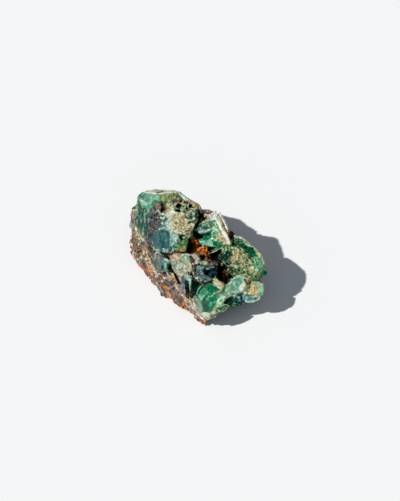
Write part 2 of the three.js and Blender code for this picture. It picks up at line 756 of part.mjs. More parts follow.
// The three sides of a face from its corners, lowest corner first in each.
function sidesOf([a, b, c]) {
  return [[a, b], [b, c], [c, a]].map(([p, q]) => (p < q ? [p, q] : [q, p]));
}

// The corners that share a side with this one.
function neighbours(corner, faces, touching) {
  const found = new Set([...touching[corner]].flatMap((f) => faces[f]));
  found.delete(corner);
  return found;
}

// Whether the faces round a corner keep their facing when the corner moves.
function keepsFacing(corner, other, target, points, faces, touching) {
  for (const f of touching[corner]) {
    if (faces[f].includes(other)) continue;
    const old = faces[f].map((v) => points[v]);
    const moved = faces[f].map((v) => (v === corner ? target : points[v]));
    const before = new THREE.Triangle(...old).getNormal(new THREE.Vector3());
    const after = new THREE.Triangle(...moved);
    if (after.getArea() < 0.004) return false;
    if (before.dot(after.getNormal(new THREE.Vector3())) < 0.6) return false;
  }
  return true;
}

// Draws the two ends of a side together, where that leaves the surface whole.
function closeSide([a, b], points, faces, touching) {
  if (points[a].distanceTo(points[b]) > shortestEdge) return false;
  const nearA = neighbours(a, faces, touching);
  const nearB = neighbours(b, faces, touching);
  const shared = [...nearA].filter((v) => nearB.has(v));
  if (!nearA.has(b) || shared.length !== 2) return false;
  const target = points[a].clone().lerp(points[b], 0.5);
  if (!keepsFacing(a, b, target, points, faces, touching)) return false;
  if (!keepsFacing(b, a, target, points, faces, touching)) return false;
  points[a] = target;
  for (const f of [...touching[b]]) {
    if (faces[f].includes(a)) {
      faces[f].forEach((v) => touching[v].delete(f));
      faces[f] = null;
    } else {
      faces[f] = faces[f].map((v) => (v === b ? a : v));
      touching[a].add(f);
    }
  }
  touching[b].clear();
  return true;
}

// Draws corners that share one place, but not one surface, a little way apart.
function partTouchingCorners(points, faces, touching) {
  const places = new Map();
  points.forEach((p, v) => {
    if (touching[v].size === 0) return;
    const key = p.toArray().map((value) => value.toFixed(2)).join(" ");
    places.set(key, [...(places.get(key) ?? []), v]);
  });
  for (const shared of [...places.values()].filter((list) => list.length > 1)) {
    for (const v of shared) {
      const near = [...neighbours(v, faces, touching)];
      const middle = new THREE.Vector3();
      near.forEach((w) => middle.addScaledVector(points[w], 1 / near.length));
      points[v] = points[v].clone().lerp(middle, 0.06);
    }
  }
}

// A surface without the slivers that joining and cutting leave.
function withoutSlivers(geometry) {
  const place = geometry.getAttribute("position");
  const index = geometry.getIndex();
  const points = [];
  for (let i = 0; i < place.count; i += 1) points.push(new THREE.Vector3().fromBufferAttribute(place, i));
  const faces = [];
  for (let i = 0; i < index.count; i += 3) faces.push([0, 1, 2].map((k) => index.getX(i + k)));
  const touching = points.map(() => new Set());
  faces.forEach((face, f) => face.forEach((v) => touching[v].add(f)));
  for (let pass = 0; pass < 6; pass += 1) {
    const sides = faces.filter(Boolean).flatMap(sidesOf);
    sides.sort((p, q) => points[p[0]].distanceTo(points[p[1]]) - points[q[0]].distanceTo(points[q[1]]));
    const closed = sides.filter((side) => closeSide(side, points, faces, touching));
    if (closed.length === 0) break;
  }
  partTouchingCorners(points, faces, touching);
  const left = new THREE.BufferGeometry();
  left.setAttribute("position", new THREE.Float32BufferAttribute(points.flatMap((p) => p.toArray()), 3));
  left.setIndex(faces.filter(Boolean).flat());
  return biggest(solidOf(left));
}

// The biggest body of a solid that a cut has left in several.
function biggest(solid) {
  const bodies = solid.decompose();
  bodies.sort((a, b) => b.volume() - a.volume());
  return facesOf(bodies[0]);
}

// The matrix below the contact and the fluorite above it, with the clearance between them.
function partedRock() {
  const rock = rockSolid();
  const matrix = biggest(rock.intersect(belowContact(-contactGap / 2)));
  const fluorite = biggest(rock.subtract(belowContact(contactGap / 2)));
  return [matrix, fluorite].map(withoutSlivers);
}

// Puts the origin under the middle of the specimen, on the table.
function centre(bodies) {
  const room = new THREE.Box3();
  bodies.forEach((body) => {
    body.computeBoundingBox();
    room.union(body.boundingBox);
  });
  const middle = room.getCenter(new THREE.Vector3());
  bodies.forEach((body) => body.translate(-middle.x, -middle.y, -room.min.z));
}

function piece(name, geometry, material) {
  const mesh = new THREE.Mesh(geometry, material);
  mesh.name = name;
  return mesh;
}

const ironstone = new THREE.MeshStandardMaterial({ color: 0x86705f, roughness: 0.92, metalness: 0 });
const greenFluorite = new THREE.MeshStandardMaterial({ color: 0x5d917a, roughness: 0.4, metalness: 0 });

const [matrixBody, fluoriteBody] = partedRock();
centre([matrixBody, fluoriteBody]);

const group = new THREE.Group();
group.add(piece("matrix", matrixBody, ironstone));
group.add(piece("fluorite", fluoriteBody, greenFluorite));
export default group;
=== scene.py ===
import math

import bmesh
import bpy
import numpy as np
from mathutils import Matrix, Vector, noise
from mathutils.bvhtree import BVHTree


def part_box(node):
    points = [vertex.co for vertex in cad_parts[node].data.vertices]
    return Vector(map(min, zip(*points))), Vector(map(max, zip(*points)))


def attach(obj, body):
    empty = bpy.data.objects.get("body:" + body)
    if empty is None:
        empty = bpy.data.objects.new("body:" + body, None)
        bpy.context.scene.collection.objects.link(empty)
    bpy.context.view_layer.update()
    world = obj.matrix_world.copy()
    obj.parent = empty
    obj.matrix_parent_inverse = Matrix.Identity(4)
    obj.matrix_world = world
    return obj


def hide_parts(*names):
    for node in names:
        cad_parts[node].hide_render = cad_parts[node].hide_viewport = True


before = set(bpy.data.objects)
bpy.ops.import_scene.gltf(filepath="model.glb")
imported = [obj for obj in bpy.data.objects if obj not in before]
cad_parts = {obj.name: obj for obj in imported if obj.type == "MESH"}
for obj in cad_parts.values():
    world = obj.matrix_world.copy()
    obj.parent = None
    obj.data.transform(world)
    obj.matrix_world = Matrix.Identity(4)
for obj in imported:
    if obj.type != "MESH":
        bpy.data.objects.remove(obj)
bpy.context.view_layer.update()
mm = 0.001
print("frame loaded:", sorted(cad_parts))

# The specimen is painted and lit as it is seen from above its front edge. Places on it are
# given in millimetres across and up that view, from the middle of the specimen.
eye = {"turn": 43, "height": 60, "acrossMiddle": 2.079, "upMiddle": 4.733}
turn, height = math.radians(eye["turn"]), math.radians(eye["height"])
toEye = Vector((math.sin(turn) * math.cos(height), -math.cos(turn) * math.cos(height), math.sin(height)))
across = Vector((math.cos(turn), math.sin(turn), 0))
upward = toEye.cross(across)
eyeAxis = np.array(toEye)

# Pale floor, an even pale surround and one low sun from the left.
studio = {
    "floor": "#f4f5f5",
    "floorReach": 2,
    "floorRough": 0.9,
    "floorGloss": 0.1,
    "surround": "#e2ebfc",
    "ambient": 0.225,
    "sunlight": "#fffdfa",
    "sun": 3.9,
    "sunAngle": 1.5,
    "toSun": (-0.5435, -0.5068, 0.6691),
}


def linear(hexColour):
    parts = [int(hexColour[i : i + 2], 16) / 255 for i in (1, 3, 5)]
    return [c / 12.92 if c <= 0.04045 else ((c + 0.055) / 1.055) ** 2.4 for c in parts]


def addNode(tree, kind, settings, inputs):
    made = tree.nodes.new("ShaderNode" + kind)
    for name, value in settings.items():
        setattr(made, name, value)
    for name, value in inputs.items():
        if isinstance(value, bpy.types.NodeSocket):
            tree.links.new(value, made.inputs[name])
        else:
            made.inputs[name].default_value = value
    return made


# The camera, on the photographed side: its lens, and its aim and distance in millimetres.
camera = {"lens": 200, "sensor": 36, "clipMetres": 20, "away": 1122, "across": 0.8, "up": 2.2}
lens = bpy.data.cameras.new("camera")
lens.lens = camera["lens"]
lens.sensor_width = camera["sensor"]
lens.clip_end = camera["clipMetres"]
cameraObject = bpy.data.objects.new("camera", lens)
aim = across * (camera["across"] + eye["acrossMiddle"]) + upward * (camera["up"] + eye["upMiddle"])
cameraObject.location = (aim + toEye * camera["away"]) * mm
cameraObject.rotation_euler = toEye.to_track_quat("Z", "Y").to_euler()
bpy.context.scene.collection.objects.link(cameraObject)
bpy.context.scene.camera = cameraObject


weld = 0.001  # in millimetres, what counts as one corner of the solid


def fineMesh(node, size):
    # One closed skin over the node, fine enough to carry grains and cleavage steps.
    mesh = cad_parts[node].data.copy()
    shape = bmesh.new()
    shape.from_mesh(mesh)
    bmesh.ops.remove_doubles(shape, verts=shape.verts, dist=weld * mm)
    shape.to_mesh(mesh)
    shape.free()
    rough = bpy.data.objects.new(node + "Rough", mesh)
    bpy.context.scene.collection.objects.link(rough)
    remesh = rough.modifiers.new("remesh", "REMESH")
    remesh.mode = "VOXEL"
    remesh.voxel_size = size * mm
    remesh.use_smooth_shade = True
    graph = bpy.context.evaluated_depsgraph_get()
    skin = bpy.data.meshes.new_from_object(rough.evaluated_get(graph))
    bpy.data.objects.remove(rough)
    return skin


def vectors(items, name):
    values = np.empty(len(items) * 3)
    items.foreach_get(name, values)
    return values.reshape(-1, 3)


# In millimetres, and as fine as 200,000 triangles a piece allow.
cellSizes = {"fluorite": 0.316, "matrix": 0.3}
fine = {node: fineMesh(node, size) for node, size in cellSizes.items()}
trees = {
    node: BVHTree.FromPolygons([v.co for v in mesh.vertices], [list(p.vertices) for p in mesh.polygons])
    for node, mesh in fine.items()
}
print("fine meshes:", {node: len(mesh.polygons) for node, mesh in fine.items()})

# Each use of noise has a seed of its own, so every run gives the same stone.
seeds = {
    "bend": (33, 34, 35),
    "zone": 36,
    "tint": 31,
    "waver": (11, 12),
    "flecks": 40,
    "perPlace": 3,
    "grainBend": (41, 42, 43),
    "grain": 1,
    "drift": 21,
    "fine": 22,
    "wide": 23,
    "ridges": 24,
}
seedStep = Vector((7.3, 3.1, 5.7))  # how far apart two seeds lie in the noise
fade, shrink = 1, 2  # how the finer octaves of a noise get weaker and smaller
ownScale, leanScale = 5.13, 3.71  # two unrelated readings of one grain's random numbers
middleValue = Vector((0.5, 0.5, 0.5))


def shifted(p, size, seed):
    return Vector(p) / size + seedStep * seed


def softNoise(points, size, seed, octaves=2):
    return np.array([noise.fractal(shifted(p, size, seed), fade, shrink, octaves) for p in points])


def noises(points, size, severalSeeds):
    return np.stack([softNoise(points, size, seed) for seed in severalSeeds], axis=1)


def cells(points, size, seed):
    # For each point: its nearest and second nearest grain, a number of that grain's own, and
    # the height of a face that leans its own way on each grain.
    near, second, own, face = (np.empty(len(points)) for _ in range(4))
    for i, p in enumerate(points):
        at = shifted(p, size, seed)
        distances, centres = noise.voronoi(at)
        near[i], second[i] = distances[0], distances[1]
        own[i] = noise.cell(centres[0] * ownScale)
        lean = noise.cell_vector(centres[0] * leanScale) - middleValue
        face[i] = (at - centres[0]).dot(lean) * size
    return near, second, own, face


def smoothStep(low, high, values):
    share = np.clip((values - low) / (high - low), 0, 1)
    return share * share * (3 - 2 * share)


def inView(points):
    return points @ np.array([across, upward]).T - [eye["acrossMiddle"], eye["upMiddle"]]


# A point counts as seen when nothing lies more than the headroom above it towards the eye and
# it isn't turned away by more than this. Lengths are in millimetres.
sight = {"headroom": 2, "pastSkin": 0.03, "aboveSkin": 0.08, "turnedAway": -0.45}


def lastAbove(tree, start):
    gone = 0
    while gone < sight["headroom"] * mm:
        away = tree.ray_cast(start + toEye * gone, toEye)[3]
        if away is None:
            return 0
        gone += away + sight["pastSkin"] * mm
    return gone


def seenByEye(points, normals):
    seen = np.zeros(len(points), bool)
    for i in np.nonzero(normals @ eyeAxis > sight["turnedAway"])[0]:
        start = Vector(points[i] + normals[i] * sight["aboveSkin"]) * mm
        seen[i] = not any(lastAbove(tree, start) for tree in trees.values())
    return seen


def awayFromSides(flat, corners):
    nearest = np.full(len(flat), np.inf)
    for a, b in zip(corners, corners[1:]):
        a, b = np.array(a, float), np.array(b, float)
        along = np.clip(((flat - a) @ (b - a)) / ((b - a) @ (b - a)), 0, 1)
        nearest = np.minimum(nearest, np.linalg.norm(flat - a - along[:, None] * (b - a), axis=1))
    return nearest


def depthInside(flat, outline):
    closed = outline + outline[:1]
    inside = np.zeros(len(flat), bool)
    for (ax, ay), (bx, by) in zip(closed, closed[1:]):
        if ay != by:
            crosses = (ay > flat[:, 1]) != (by > flat[:, 1])
            inside ^= crosses & (flat[:, 0] < (bx - ax) * (flat[:, 1] - ay) / (by - ay) + ax)
    away = awayFromSides(flat, closed)
    return np.where(inside, away, -away)


def depthInSpots(flat, ovals):
    # An oval is its middle, its width and height, and the degrees that it leans, if it does.
    depth = np.full(len(flat), -np.inf)
    for u, v, wide, high, *lean in ovals:
        lean = math.radians(lean[0]) if lean else 0
        offset = flat - [u, v]
        x = offset[:, 0] * math.cos(lean) + offset[:, 1] * math.sin(lean)
        y = offset[:, 1] * math.cos(lean) - offset[:, 0] * math.sin(lean)
        inwards = 1 - np.hypot(x / (wide / 2), y / (high / 2))
        depth = np.maximum(depth, inwards * min(wide, high) / 2)
    return depth


# How each kind of surface looks and feels: the share that is see-through, its roughness, how
# ragged its edge is, the height in millimetres of its cleavage steps, grains and fine
# roughness, how mottled it is, and how deep it lies.
kindColumns = ("clear", "rough", "ragged", "steps", "grain", "fine", "mottle", "sink")
kindTable = {
    "glass": (0.35, 0.34, 0.2, 0.06, 0, 0.04, 0.25, 0),
    "crystal": (0.18, 0.42, 0.2, 0.12, 0, 0.07, 0.22, 0),
    "frost": (0.06, 0.55, 0.25, 0.1, 0.05, 0.12, 0.15, 0),
    "sugar": (0.04, 0.6, 0.6, 0, 0.26, 0.16, 0.28, 0),
    "crust": (0, 0.65, 0.45, 0.05, 0.2, 0.2, 0.35, 0),
    "rust": (0, 0.85, 0.4, 0, 0.15, 0.28, 0.4, 0),
    "hole": (0, 0.9, 0.25, 0, 0, 0.1, 0.2, 0.7),
    "rock": (0, 0.85, 0.5, 0, 0.22, 0.34, 0.35, 0),
}
kinds = {kind: dict(zip(kindColumns, row)) for kind, row in kindTable.items()}
measures = [name for name in kindColumns if name != "ragged"]


def tint(coat, hexColour, share, at):
    coat["colour"][at] += (np.array(linear(hexColour)) - coat["colour"][at]) * share[:, None]


def lay(coat, kindName, hexColour, share, at):
    for name in measures:
        coat[name][at] += (kinds[kindName][name] - coat[name][at]) * share
    tint(coat, hexColour, share, at)


# Flecks are drawn out to this many times their width along their direction and in depth, and
# have an edge this soft.
fleckShape = {"run": 4, "deep": 3, "edge": 0.035}


def fleckShare(points, flat, fleck, seed):
    # Flecks of a given width that cover a given share, drawn out along a direction if one is given.
    width, share, *run = fleck[1:]
    if run:
        lean = math.radians(run[0])
        along = flat @ [math.cos(lean), math.sin(lean)] / fleckShape["run"]
        aside = flat @ [-math.sin(lean), math.cos(lean)]
        points = np.stack([along, aside, points @ eyeAxis / fleckShape["deep"]], axis=1)
    values = softNoise(points, width * 2, seed)
    edge = np.quantile(values, 1 - share)
    return smoothStep(edge - fleckShape["edge"], edge + fleckShape["edge"], values)


# The ground coat: sizes in millimetres, how much a crystal's own number shifts its zone and
# its light, and from where to where tints, seams and hidden faces come in.
ground = {
    "bendSize": 2.5,
    "tintSize": 1.3,
    "ownZone": 0.16,
    "ownLight": 0.25,
    "tint": (0.12, 0.25),
    "seam": (0.07, 0.01),
    "hidden": (0.05, 0.4),
    "proudest": 0.1,
}


def groundCoat(points, normals, base):
    # Crystals grown together all over the stone.
    coat = {name: np.zeros(len(points)) for name in [*measures, "rise"]}
    coat["colour"] = np.zeros((len(points), 3))
    bent = points + base["bend"] * noises(points, ground["bendSize"], seeds["bend"])
    near, second, own, face = cells(bent, base["size"], base["seed"])
    zone = softNoise(points, base["zone"], seeds["zone"]) + ground["ownZone"] * own
    rank = np.argsort(np.argsort(zone)) / len(zone)
    tinge = softNoise(points, ground["tintSize"], seeds["tint"], 3)
    for i, (kindName, hexColour, *tinges) in enumerate(base["coats"]):
        at = np.nonzero((rank * len(base["coats"])).astype(int) == i)[0]
        lay(coat, kindName, hexColour, np.ones(len(at)), at)
        for side, tinged in zip((1, -1), tinges):
            tint(coat, tinged, smoothStep(*ground["tint"], side * tinge[at]), at)
    coat["colour"] *= (1 + ground["ownLight"] * own)[:, None]
    kindName, hexColour, seamShare = base["seam"]
    seamShare = seamShare * smoothStep(*ground["seam"], second - near)
    lay(coat, kindName, hexColour, seamShare, np.arange(len(points)))
    # the faces of those crystals stand out where the eye never looks
    hidden = smoothStep(*ground["hidden"], -(normals @ eyeAxis))
    coat["faces"] = hidden * np.minimum(base["lean"] * face - base["below"], ground["proudest"])
    return coat


# How the named places end: how far their edges waver, in millimetres, and how they fade and
# waver more where the surface turns away from the eye.
edges = {"waver": 1.5, "soft": 0.15, "fade": (-0.36, -0.14), "loose": (0.35, -0.05), "looser": 3}


def paintPlaces(coat, points, normals, seen, places):
    spot, flat = points[seen], inView(points[seen])
    facing = normals[seen] @ eyeAxis
    turned = smoothStep(*edges["fade"], facing)
    waver = noises(spot, edges["waver"], seeds["waver"])
    waver *= (1 + edges["looser"] * smoothStep(*edges["loose"], facing))[:, None]
    for number, place in enumerate(places):
        moved = flat + waver * place.get("ragged", kinds[place["kind"]]["ragged"])
        if "line" in place:
            depth = place["width"] / 2 - awayFromSides(moved, place["line"])
        elif "spots" in place:
            depth = depthInSpots(moved, place["spots"])
        else:
            depth = depthInside(moved, place["outline"])
        soft = place.get("soft", edges["soft"])
        share = smoothStep(-soft, soft, depth) * place.get("share", 1) * turned
        inside = np.nonzero(share)[0]
        if len(inside) == 0:
            print("nothing painted:", place["name"])
            continue
        share, at = share[inside], seen[inside]
        lay(coat, place["kind"], place["colour"], share, at)
        coat["sink"][at] -= place.get("lift", 0) * share
        coat["rise"][at] += place.get("rise", 0) * share
        for i, fleck in enumerate(place["flecks"]):
            seed = seeds["flecks"] + number * seeds["perPlace"] + i
            tint(coat, fleck[0], fleckShare(spot[inside], flat[inside], fleck, seed) * share, at)


# How much of the light on a face is taken out of its colour, and between which strengths.
evening = {"least": 0.5, "most": 1.35, "power": 0.85}
crevice = {"facing": -0.1, "paintedShade": 0.35}  # painted shade: what an overhang hides from the eye is darkened


def lightOn(normals):
    # The light on each face, against that on one that lies flat.
    facing = np.append(normals @ np.array(studio["toSun"]), studio["toSun"][2])
    sky = studio["ambient"] * np.array(linear(studio["surround"]))
    sunned = studio["sun"] / math.pi * np.clip(facing, 0, 1)[:, None]
    light = sky + sunned * linear(studio["sunlight"])
    return light[:-1] / light[-1]


def paint(points, normals, base, places):
    # First the ground coat all over, then each named place where the eye sees it.
    coat = groundCoat(points, normals, base)
    visible = seenByEye(points, normals)
    # painted shade: faces turned to the eye but hidden under an overhang are darkened
    coat["colour"][~visible & (normals @ eyeAxis > crevice["facing"])] *= crevice["paintedShade"]
    seen = np.nonzero(visible)[0]
    paintPlaces(coat, points, normals, seen, places)
    # the places are named in the colours that the eye sees, so the light on them is taken out
    light = lightOn(normals[seen])
    strength = light.mean(axis=1)[:, None]
    evened = np.clip(strength, evening["least"], evening["most"]) ** evening["power"]
    coat["colour"][seen] /= light / strength * evened
    return coat


def area(name, kind, colour, outline, *flecks, **more):
    return {"name": name, "kind": kind, "colour": colour, "outline": outline, "flecks": flecks, **more}


def streak(name, kind, colour, width, line, *flecks, **more):
    return {"name": name, "kind": kind, "colour": colour, "width": width, "line": line, "flecks": flecks, **more}


def spots(name, kind, colour, where, *flecks, **more):
    return {"name": name, "kind": kind, "colour": colour, "spots": where, "flecks": flecks, **more}


# An outline or line is followed by flecks: colour, width, share covered, direction drawn out.
# More can be said of a place: how ragged and how soft its edge is, the share of its colour, and
# how many millimetres it lies higher (lift) or stands out towards the eye (rise).
leftBlock = [
    area("ground of the block", "crust", "#6f7a6c", [(-27, 24), (-22, 26), (-8, 26.6), (1.6, 21), (2.4, 17), (-1, 10),
        (-4, 1.6), (-11, 0.6), (-18, 1.4), (-20.6, 4), (-21.6, 7), (-26, 12)],
        ("#2c3a30", 0.5, 0.22), ("#a9ad95", 0.5, 0.18)),
    area("mint face", "crystal", "#6fa88e", [(-24.6, 24.8), (-22.5, 25.7), (-17, 25.2), (-15.2, 24.6), (-15.4, 22.2),
        (-16.6, 20.6), (-18.4, 18.6), (-19.8, 16.8), (-21.4, 18.4), (-22.6, 20.4), (-24.4, 22)],
        ("#8fc0a6", 0.9, 0.2, 80), ("#4c8a6e", 0.7, 0.14, 80)),
    spots("bright mint", "crystal", "#9fcfa8", [(-16.5, 23.3, 1.3, 1.8), (-18.7, 23.6, 1.2, 0.8)]),
    spots("dark mint spots", "crystal", "#4c8a70", [(-22.3, 23.5, 0.8, 1.1), (-20.4, 22.4, 1.3, 0.7),
        (-17.6, 23.8, 0.9, 0.8), (-23.8, 24.6, 1, 0.7), (-18.2, 21, 0.9, 1.4)]),
    area("pale facet", "frost", "#93b9a6", [(-23.6, 22.8), (-21.4, 21.9), (-19.9, 21.4), (-19.3, 20.2), (-20.4, 20),
        (-22, 20.2), (-22.8, 21.2)], ("#b5d0be", 0.5, 0.2, -25)),
    spots("brightest of the pale facet", "frost", "#bcd6bc", [(-19.1, 21.4, 0.9, 0.9), (-18.7, 22.4, 0.5, 1.5),
        (-22.3, 22.2, 1.8, 0.35, -25)]),
    area("deep mint facet", "crystal", "#4f9a74", [(-22.2, 20.2), (-21, 20.5), (-20.6, 18.6), (-20.8, 17.6),
        (-21.8, 18.8)]),
    area("bright mint facet", "crystal", "#66b090", [(-20.9, 20.6), (-18.9, 20.6), (-19.2, 18.8), (-19.9, 17.2),
        (-20.6, 18.2)]),
    spots("glow low in the facet", "crystal", "#74c897", [(-19.6, 18, 0.9, 1.4)]),
    area("emerald facet", "crystal", "#4c9a78", [(-18.6, 20.6), (-17.9, 22), (-16.2, 22.4), (-15.8, 21.4),
        (-16.8, 20.2), (-17.4, 18.8), (-18.4, 19.4)], ("#2f7c5c", 0.6, 0.3)),
    streak("dark edge of the crust", "crust", "#2d4436", 0.7, [(-17, 21.8), (-15.9, 21.5), (-14.2, 22)]),
    area("ledge", "frost", "#b9beb2", [(-22.8, 25.7), (-21.2, 26.5), (-17, 27.2), (-8.6, 26.9), (-7.2, 26),
        (-8.5, 25.3), (-14, 25), (-20, 25.2)], ("#8f9a8c", 0.6, 0.3, 2), ("#b3a48c", 0.5, 0.15, 2), soft=0.2),
    spots("grey green on the ledge", "frost", "#84968a", [(-17.4, 26.7, 3, 0.6)]),
    streak("white edge under the ledge", "frost", "#d9ded4", 0.55, [(-21.6, 25.5), (-17, 25), (-12, 25.2),
        (-9, 25.5)]),
    spots("rust on the ledge", "rust", "#74421f", [(-15.8, 25.6, 1.7, 0.7), (-14.2, 25.9, 1.5, 0.5)]),
    area("striped green side", "crystal", "#3a604d", [(-23.9, 23), (-22.9, 21.6), (-22.3, 19.6), (-21.4, 17.6),
        (-20.2, 16.4), (-19.9, 13), (-20.2, 9.6), (-20.8, 7.6), (-22, 7.8), (-23.4, 9.6), (-25.2, 12), (-25.6, 14.5),
        (-25, 18), (-24.4, 21)], ("#1a3930", 0.4, 0.26, 84), ("#789a86", 0.35, 0.15, 84)),
    streak("dark bevel side", "crystal", "#2f604c", 1, [(-23.5, 22.2), (-22.9, 19.8), (-23, 17.4)],
        ("#1c4a38", 0.5, 0.3)),
    # painted highlight along the bevel's edge
    streak("pale bevel", "frost", "#8fae94", 0.4, [(-23.5, 22.8), (-22.9, 21.2), (-22.1, 19)]),
    streak("pale outer edge", "frost", "#93ab92", 0.45, [(-24.2, 21.8), (-24.3, 18), (-24.5, 16.4)]),
    spots("olive by the bevel", "crust", "#6b8058", [(-22.4, 18.4, 0.9, 0.9), (-21.6, 19.1, 1.1, 0.4)]),
    spots("teal under the bevel", "glass", "#2c6258", [(-21.8, 17.7, 0.6, 0.8), (-23.1, 17.2, 0.8, 0.9),
        (-20.6, 16.2, 0.6, 1.2), (-19.8, 16.7, 0.8, 0.9)]),
    spots("dark stripes of the side", "glass", "#1f4036", [(-23.4, 14.2, 0.6, 2.2), (-22.1, 13.4, 0.5, 1.8),
        (-20.3, 12.8, 0.6, 2.2), (-20.6, 11.3, 1, 1.2), (-20.5, 9.4, 0.7, 1.2), (-21.4, 11.4, 0.7, 1.8),
        (-23.4, 12.2, 0.7, 0.7), (-21.9, 18.7, 0.5, 0.6), (-21.8, 9.2, 0.6, 1.4), (-24.6, 15, 0.4, 1.4)]),
    spots("pale stripes of the side", "frost", "#93a99a", [(-22.8, 14.1, 0.5, 1.8), (-21.3, 14.2, 0.7, 1.8),
        (-20.8, 16.9, 0.7, 0.7), (-22, 9, 0.8, 1.4), (-24.6, 13.8, 0.4, 2)]),
    streak("deep edge of the side", "crystal", "#22403f", 0.6, [(-20.1, 16.6), (-20.5, 13.6), (-20.5, 10.6),
        (-20.8, 8.6)], ("#43707a", 0.35, 0.25, 85), share=0.85),
    spots("rosy spot low on the side", "rust", "#86604f", [(-20.8, 7.6, 0.8, 0.7)]),
    area("left rim lumps", "crystal", "#4a6f56", [(-26.8, 21.4), (-25, 22.4), (-24.3, 21.6), (-24.4, 18.6),
        (-25.6, 17.6), (-27.4, 18.4)], ("#a9c4ac", 0.45, 0.26), ("#4a4a30", 0.45, 0.2)),
    streak("dark corner of the mint face", "crystal", "#39624f", 0.55, [(-24.6, 24.7), (-23.6, 24.6), (-22.9, 24),
        (-22, 23.4)], ("#1f3f33", 0.4, 0.3)),
    streak("grey edge of the corner", "crust", "#6b6a62", 0.4, [(-24.7, 23.8), (-24.6, 22.6), (-24.9, 21.9)]),
    spots("green dents by the corner", "glass", "#2f6e54", [(-22.6, 25.2, 1.2, 0.5), (-23.3, 23.3, 0.7, 0.4),
        (-21.6, 24.6, 0.8, 0.4)]),
    streak("loop by the bevel", "crust", "#3a4226", 0.35, [(-22.6, 19), (-22, 18.4), (-21.2, 18.9), (-20.9, 18),
        (-21, 17.2)]),
    spots("strong orange of the rim", "rust", "#9c5232", [(-25, 17.9, 0.6, 0.9)], ragged=0.6),
    spots("salmon of the rim", "rust", "#ab8166", [(-26.4, 16.8, 0.8, 0.8)], ragged=0.7),
    spots("dark of the lumps", "crust", "#4f5030", [(-25.5, 19.5, 0.8, 0.8), (-26.1, 19.1, 0.6, 0.4)]),
    spots("teal of the lumps", "crystal", "#4f8a76", [(-25.3, 20.8, 1, 0.7), (-24.7, 21.7, 0.5, 0.8)]),
    spots("pale of the lumps", "frost", "#c9dfc8", [(-26, 18.4, 1.1, 0.5), (-25, 18.7, 0.7, 0.6),
        (-24.8, 19.6, 0.4, 0.9)]),
    area("olive strip", "crystal", "#8a9c70", [(-15.8, 24.8), (-12, 25), (-8.6, 25.2), (-8.2, 24), (-9.8, 22.6),
        (-11.2, 21.4), (-13.4, 20.6), (-14, 22), (-15.4, 22.3)],
        ("#676a32", 0.45, 0.28, 90), ("#9bb07c", 0.4, 0.2, 90)),
    spots("leaf green", "crystal", "#558044", [(-15, 23.8, 0.9, 1.2), (-12.5, 22, 0.8, 0.9),
        (-10.6, 22.8, 0.6, 0.6)]),
    spots("deep leaf green", "crystal", "#47682b", [(-13.3, 21, 1.8, 1.5), (-13.9, 20.8, 0.8, 1)]),
    spots("olive foot", "crystal", "#66691f", [(-13.1, 19.7, 0.9, 1.1)]),
    streak("brown streaks in the olive", "crust", "#6a6630", 0.4, [(-13, 24.7), (-12.9, 22.6)]),
    streak("second brown streak", "crust", "#6a6630", 0.45, [(-9.8, 24.9), (-9.6, 23.4)]),
    spots("rusty bits by the olive", "rust", "#7a5628", [(-8.5, 23.4, 0.7, 0.8), (-13.1, 18.5, 0.9, 1),
        (-12.3, 19.8, 0.3, 1.4)]),
    spots("yellow bit", "crystal", "#bcc274", [(-9.1, 23.4, 0.6, 0.7)]),
    area("grey crust", "crust", "#4c5254", [(-19.2, 19), (-17.4, 20.4), (-16.4, 21.6), (-15, 21.4), (-14.8, 19),
        (-14.2, 16.6), (-12, 15.6), (-11.6, 13.4), (-12.6, 11), (-14, 10.4), (-16.4, 10.2), (-17.2, 8.3),
        (-17.8, 5.4), (-18, 3), (-18.4, 1), (-19.6, 1.2), (-20.2, 5), (-20.3, 8), (-20, 12), (-19.8, 16)],
        ("#1f2326", 0.4, 0.26), ("#7c8684", 0.4, 0.14), ("#665654", 0.4, 0.12)),
    area("tan top of the crust", "crust", "#6d6558", [(-17.2, 20.4), (-16.2, 21.2), (-15.2, 21.1), (-14.9, 19.6),
        (-15.1, 18.2), (-15.6, 17.6), (-16.6, 17.8), (-17, 19)], ("#37332c", 0.45, 0.34, 70),
        ("#a0957f", 0.4, 0.26, 70), ("#5c7a6a", 0.4, 0.12)),
    streak("pale slip in the crust", "sugar", "#d6ccb6", 0.7, [(-16, 18), (-15.5, 17.4), (-15, 16.7), (-14, 16.9),
        (-13.2, 16.6)]),
    spots("pale bars in the crust", "sugar", "#c2bf9c", [(-17.5, 15.4, 1.6, 0.4), (-16.1, 15.4, 0.8, 0.4)]),
    # painted shade: the gaps round the bars are painted near black
    spots("painted shade round the bars", "hole", "#15171a", [(-18.5, 15.3, 0.9, 0.7), (-16.7, 15.95, 1, 0.4),
        (-15.1, 15.6, 0.6, 0.6), (-17.3, 14.95, 1.6, 0.25)], ragged=0.15),
    spots("slate spots", "crust", "#5b6374", [(-18, 17.4, 0.9, 0.9), (-16.3, 11.8, 0.9, 0.8), (-18.9, 11.2, 0.8, 0.9),
        (-15.4, 14, 0.9, 0.7)]),
    spots("lavender spots", "sugar", "#93949e", [(-18.2, 14.5, 0.9, 0.6), (-16.9, 17.6, 0.8, 0.6),
        (-19, 11.3, 0.6, 0.5)]),
    spots("dark teal spots", "crust", "#2c4448", [(-17, 12.8, 0.9, 1), (-17, 14.5, 1.6, 0.5), (-17.6, 16.2, 1.4, 0.4),
        (-15.8, 12.4, 0.6, 0.8)]),
    spots("rusty dots", "rust", "#784a38", [(-17.8, 12.5, 0.8, 1), (-17, 9.2, 0.9, 1.5), (-18.7, 18.8, 0.6, 0.8),
        (-18.3, 10.4, 0.8, 0.5)]),
    spots("tan dots", "sugar", "#a29278", [(-18.3, 10.6, 0.6, 0.8), (-16, 14.1, 0.7, 0.5), (-17.5, 7.6, 0.7, 0.6)]),
    area("slate part of the crust", "crust", "#475965", [(-19.9, 7.8), (-18.4, 8.6), (-17.7, 7.6), (-17.9, 6),
        (-18.8, 5.2), (-19.9, 5.8)], ("#34454e", 0.4, 0.3)),
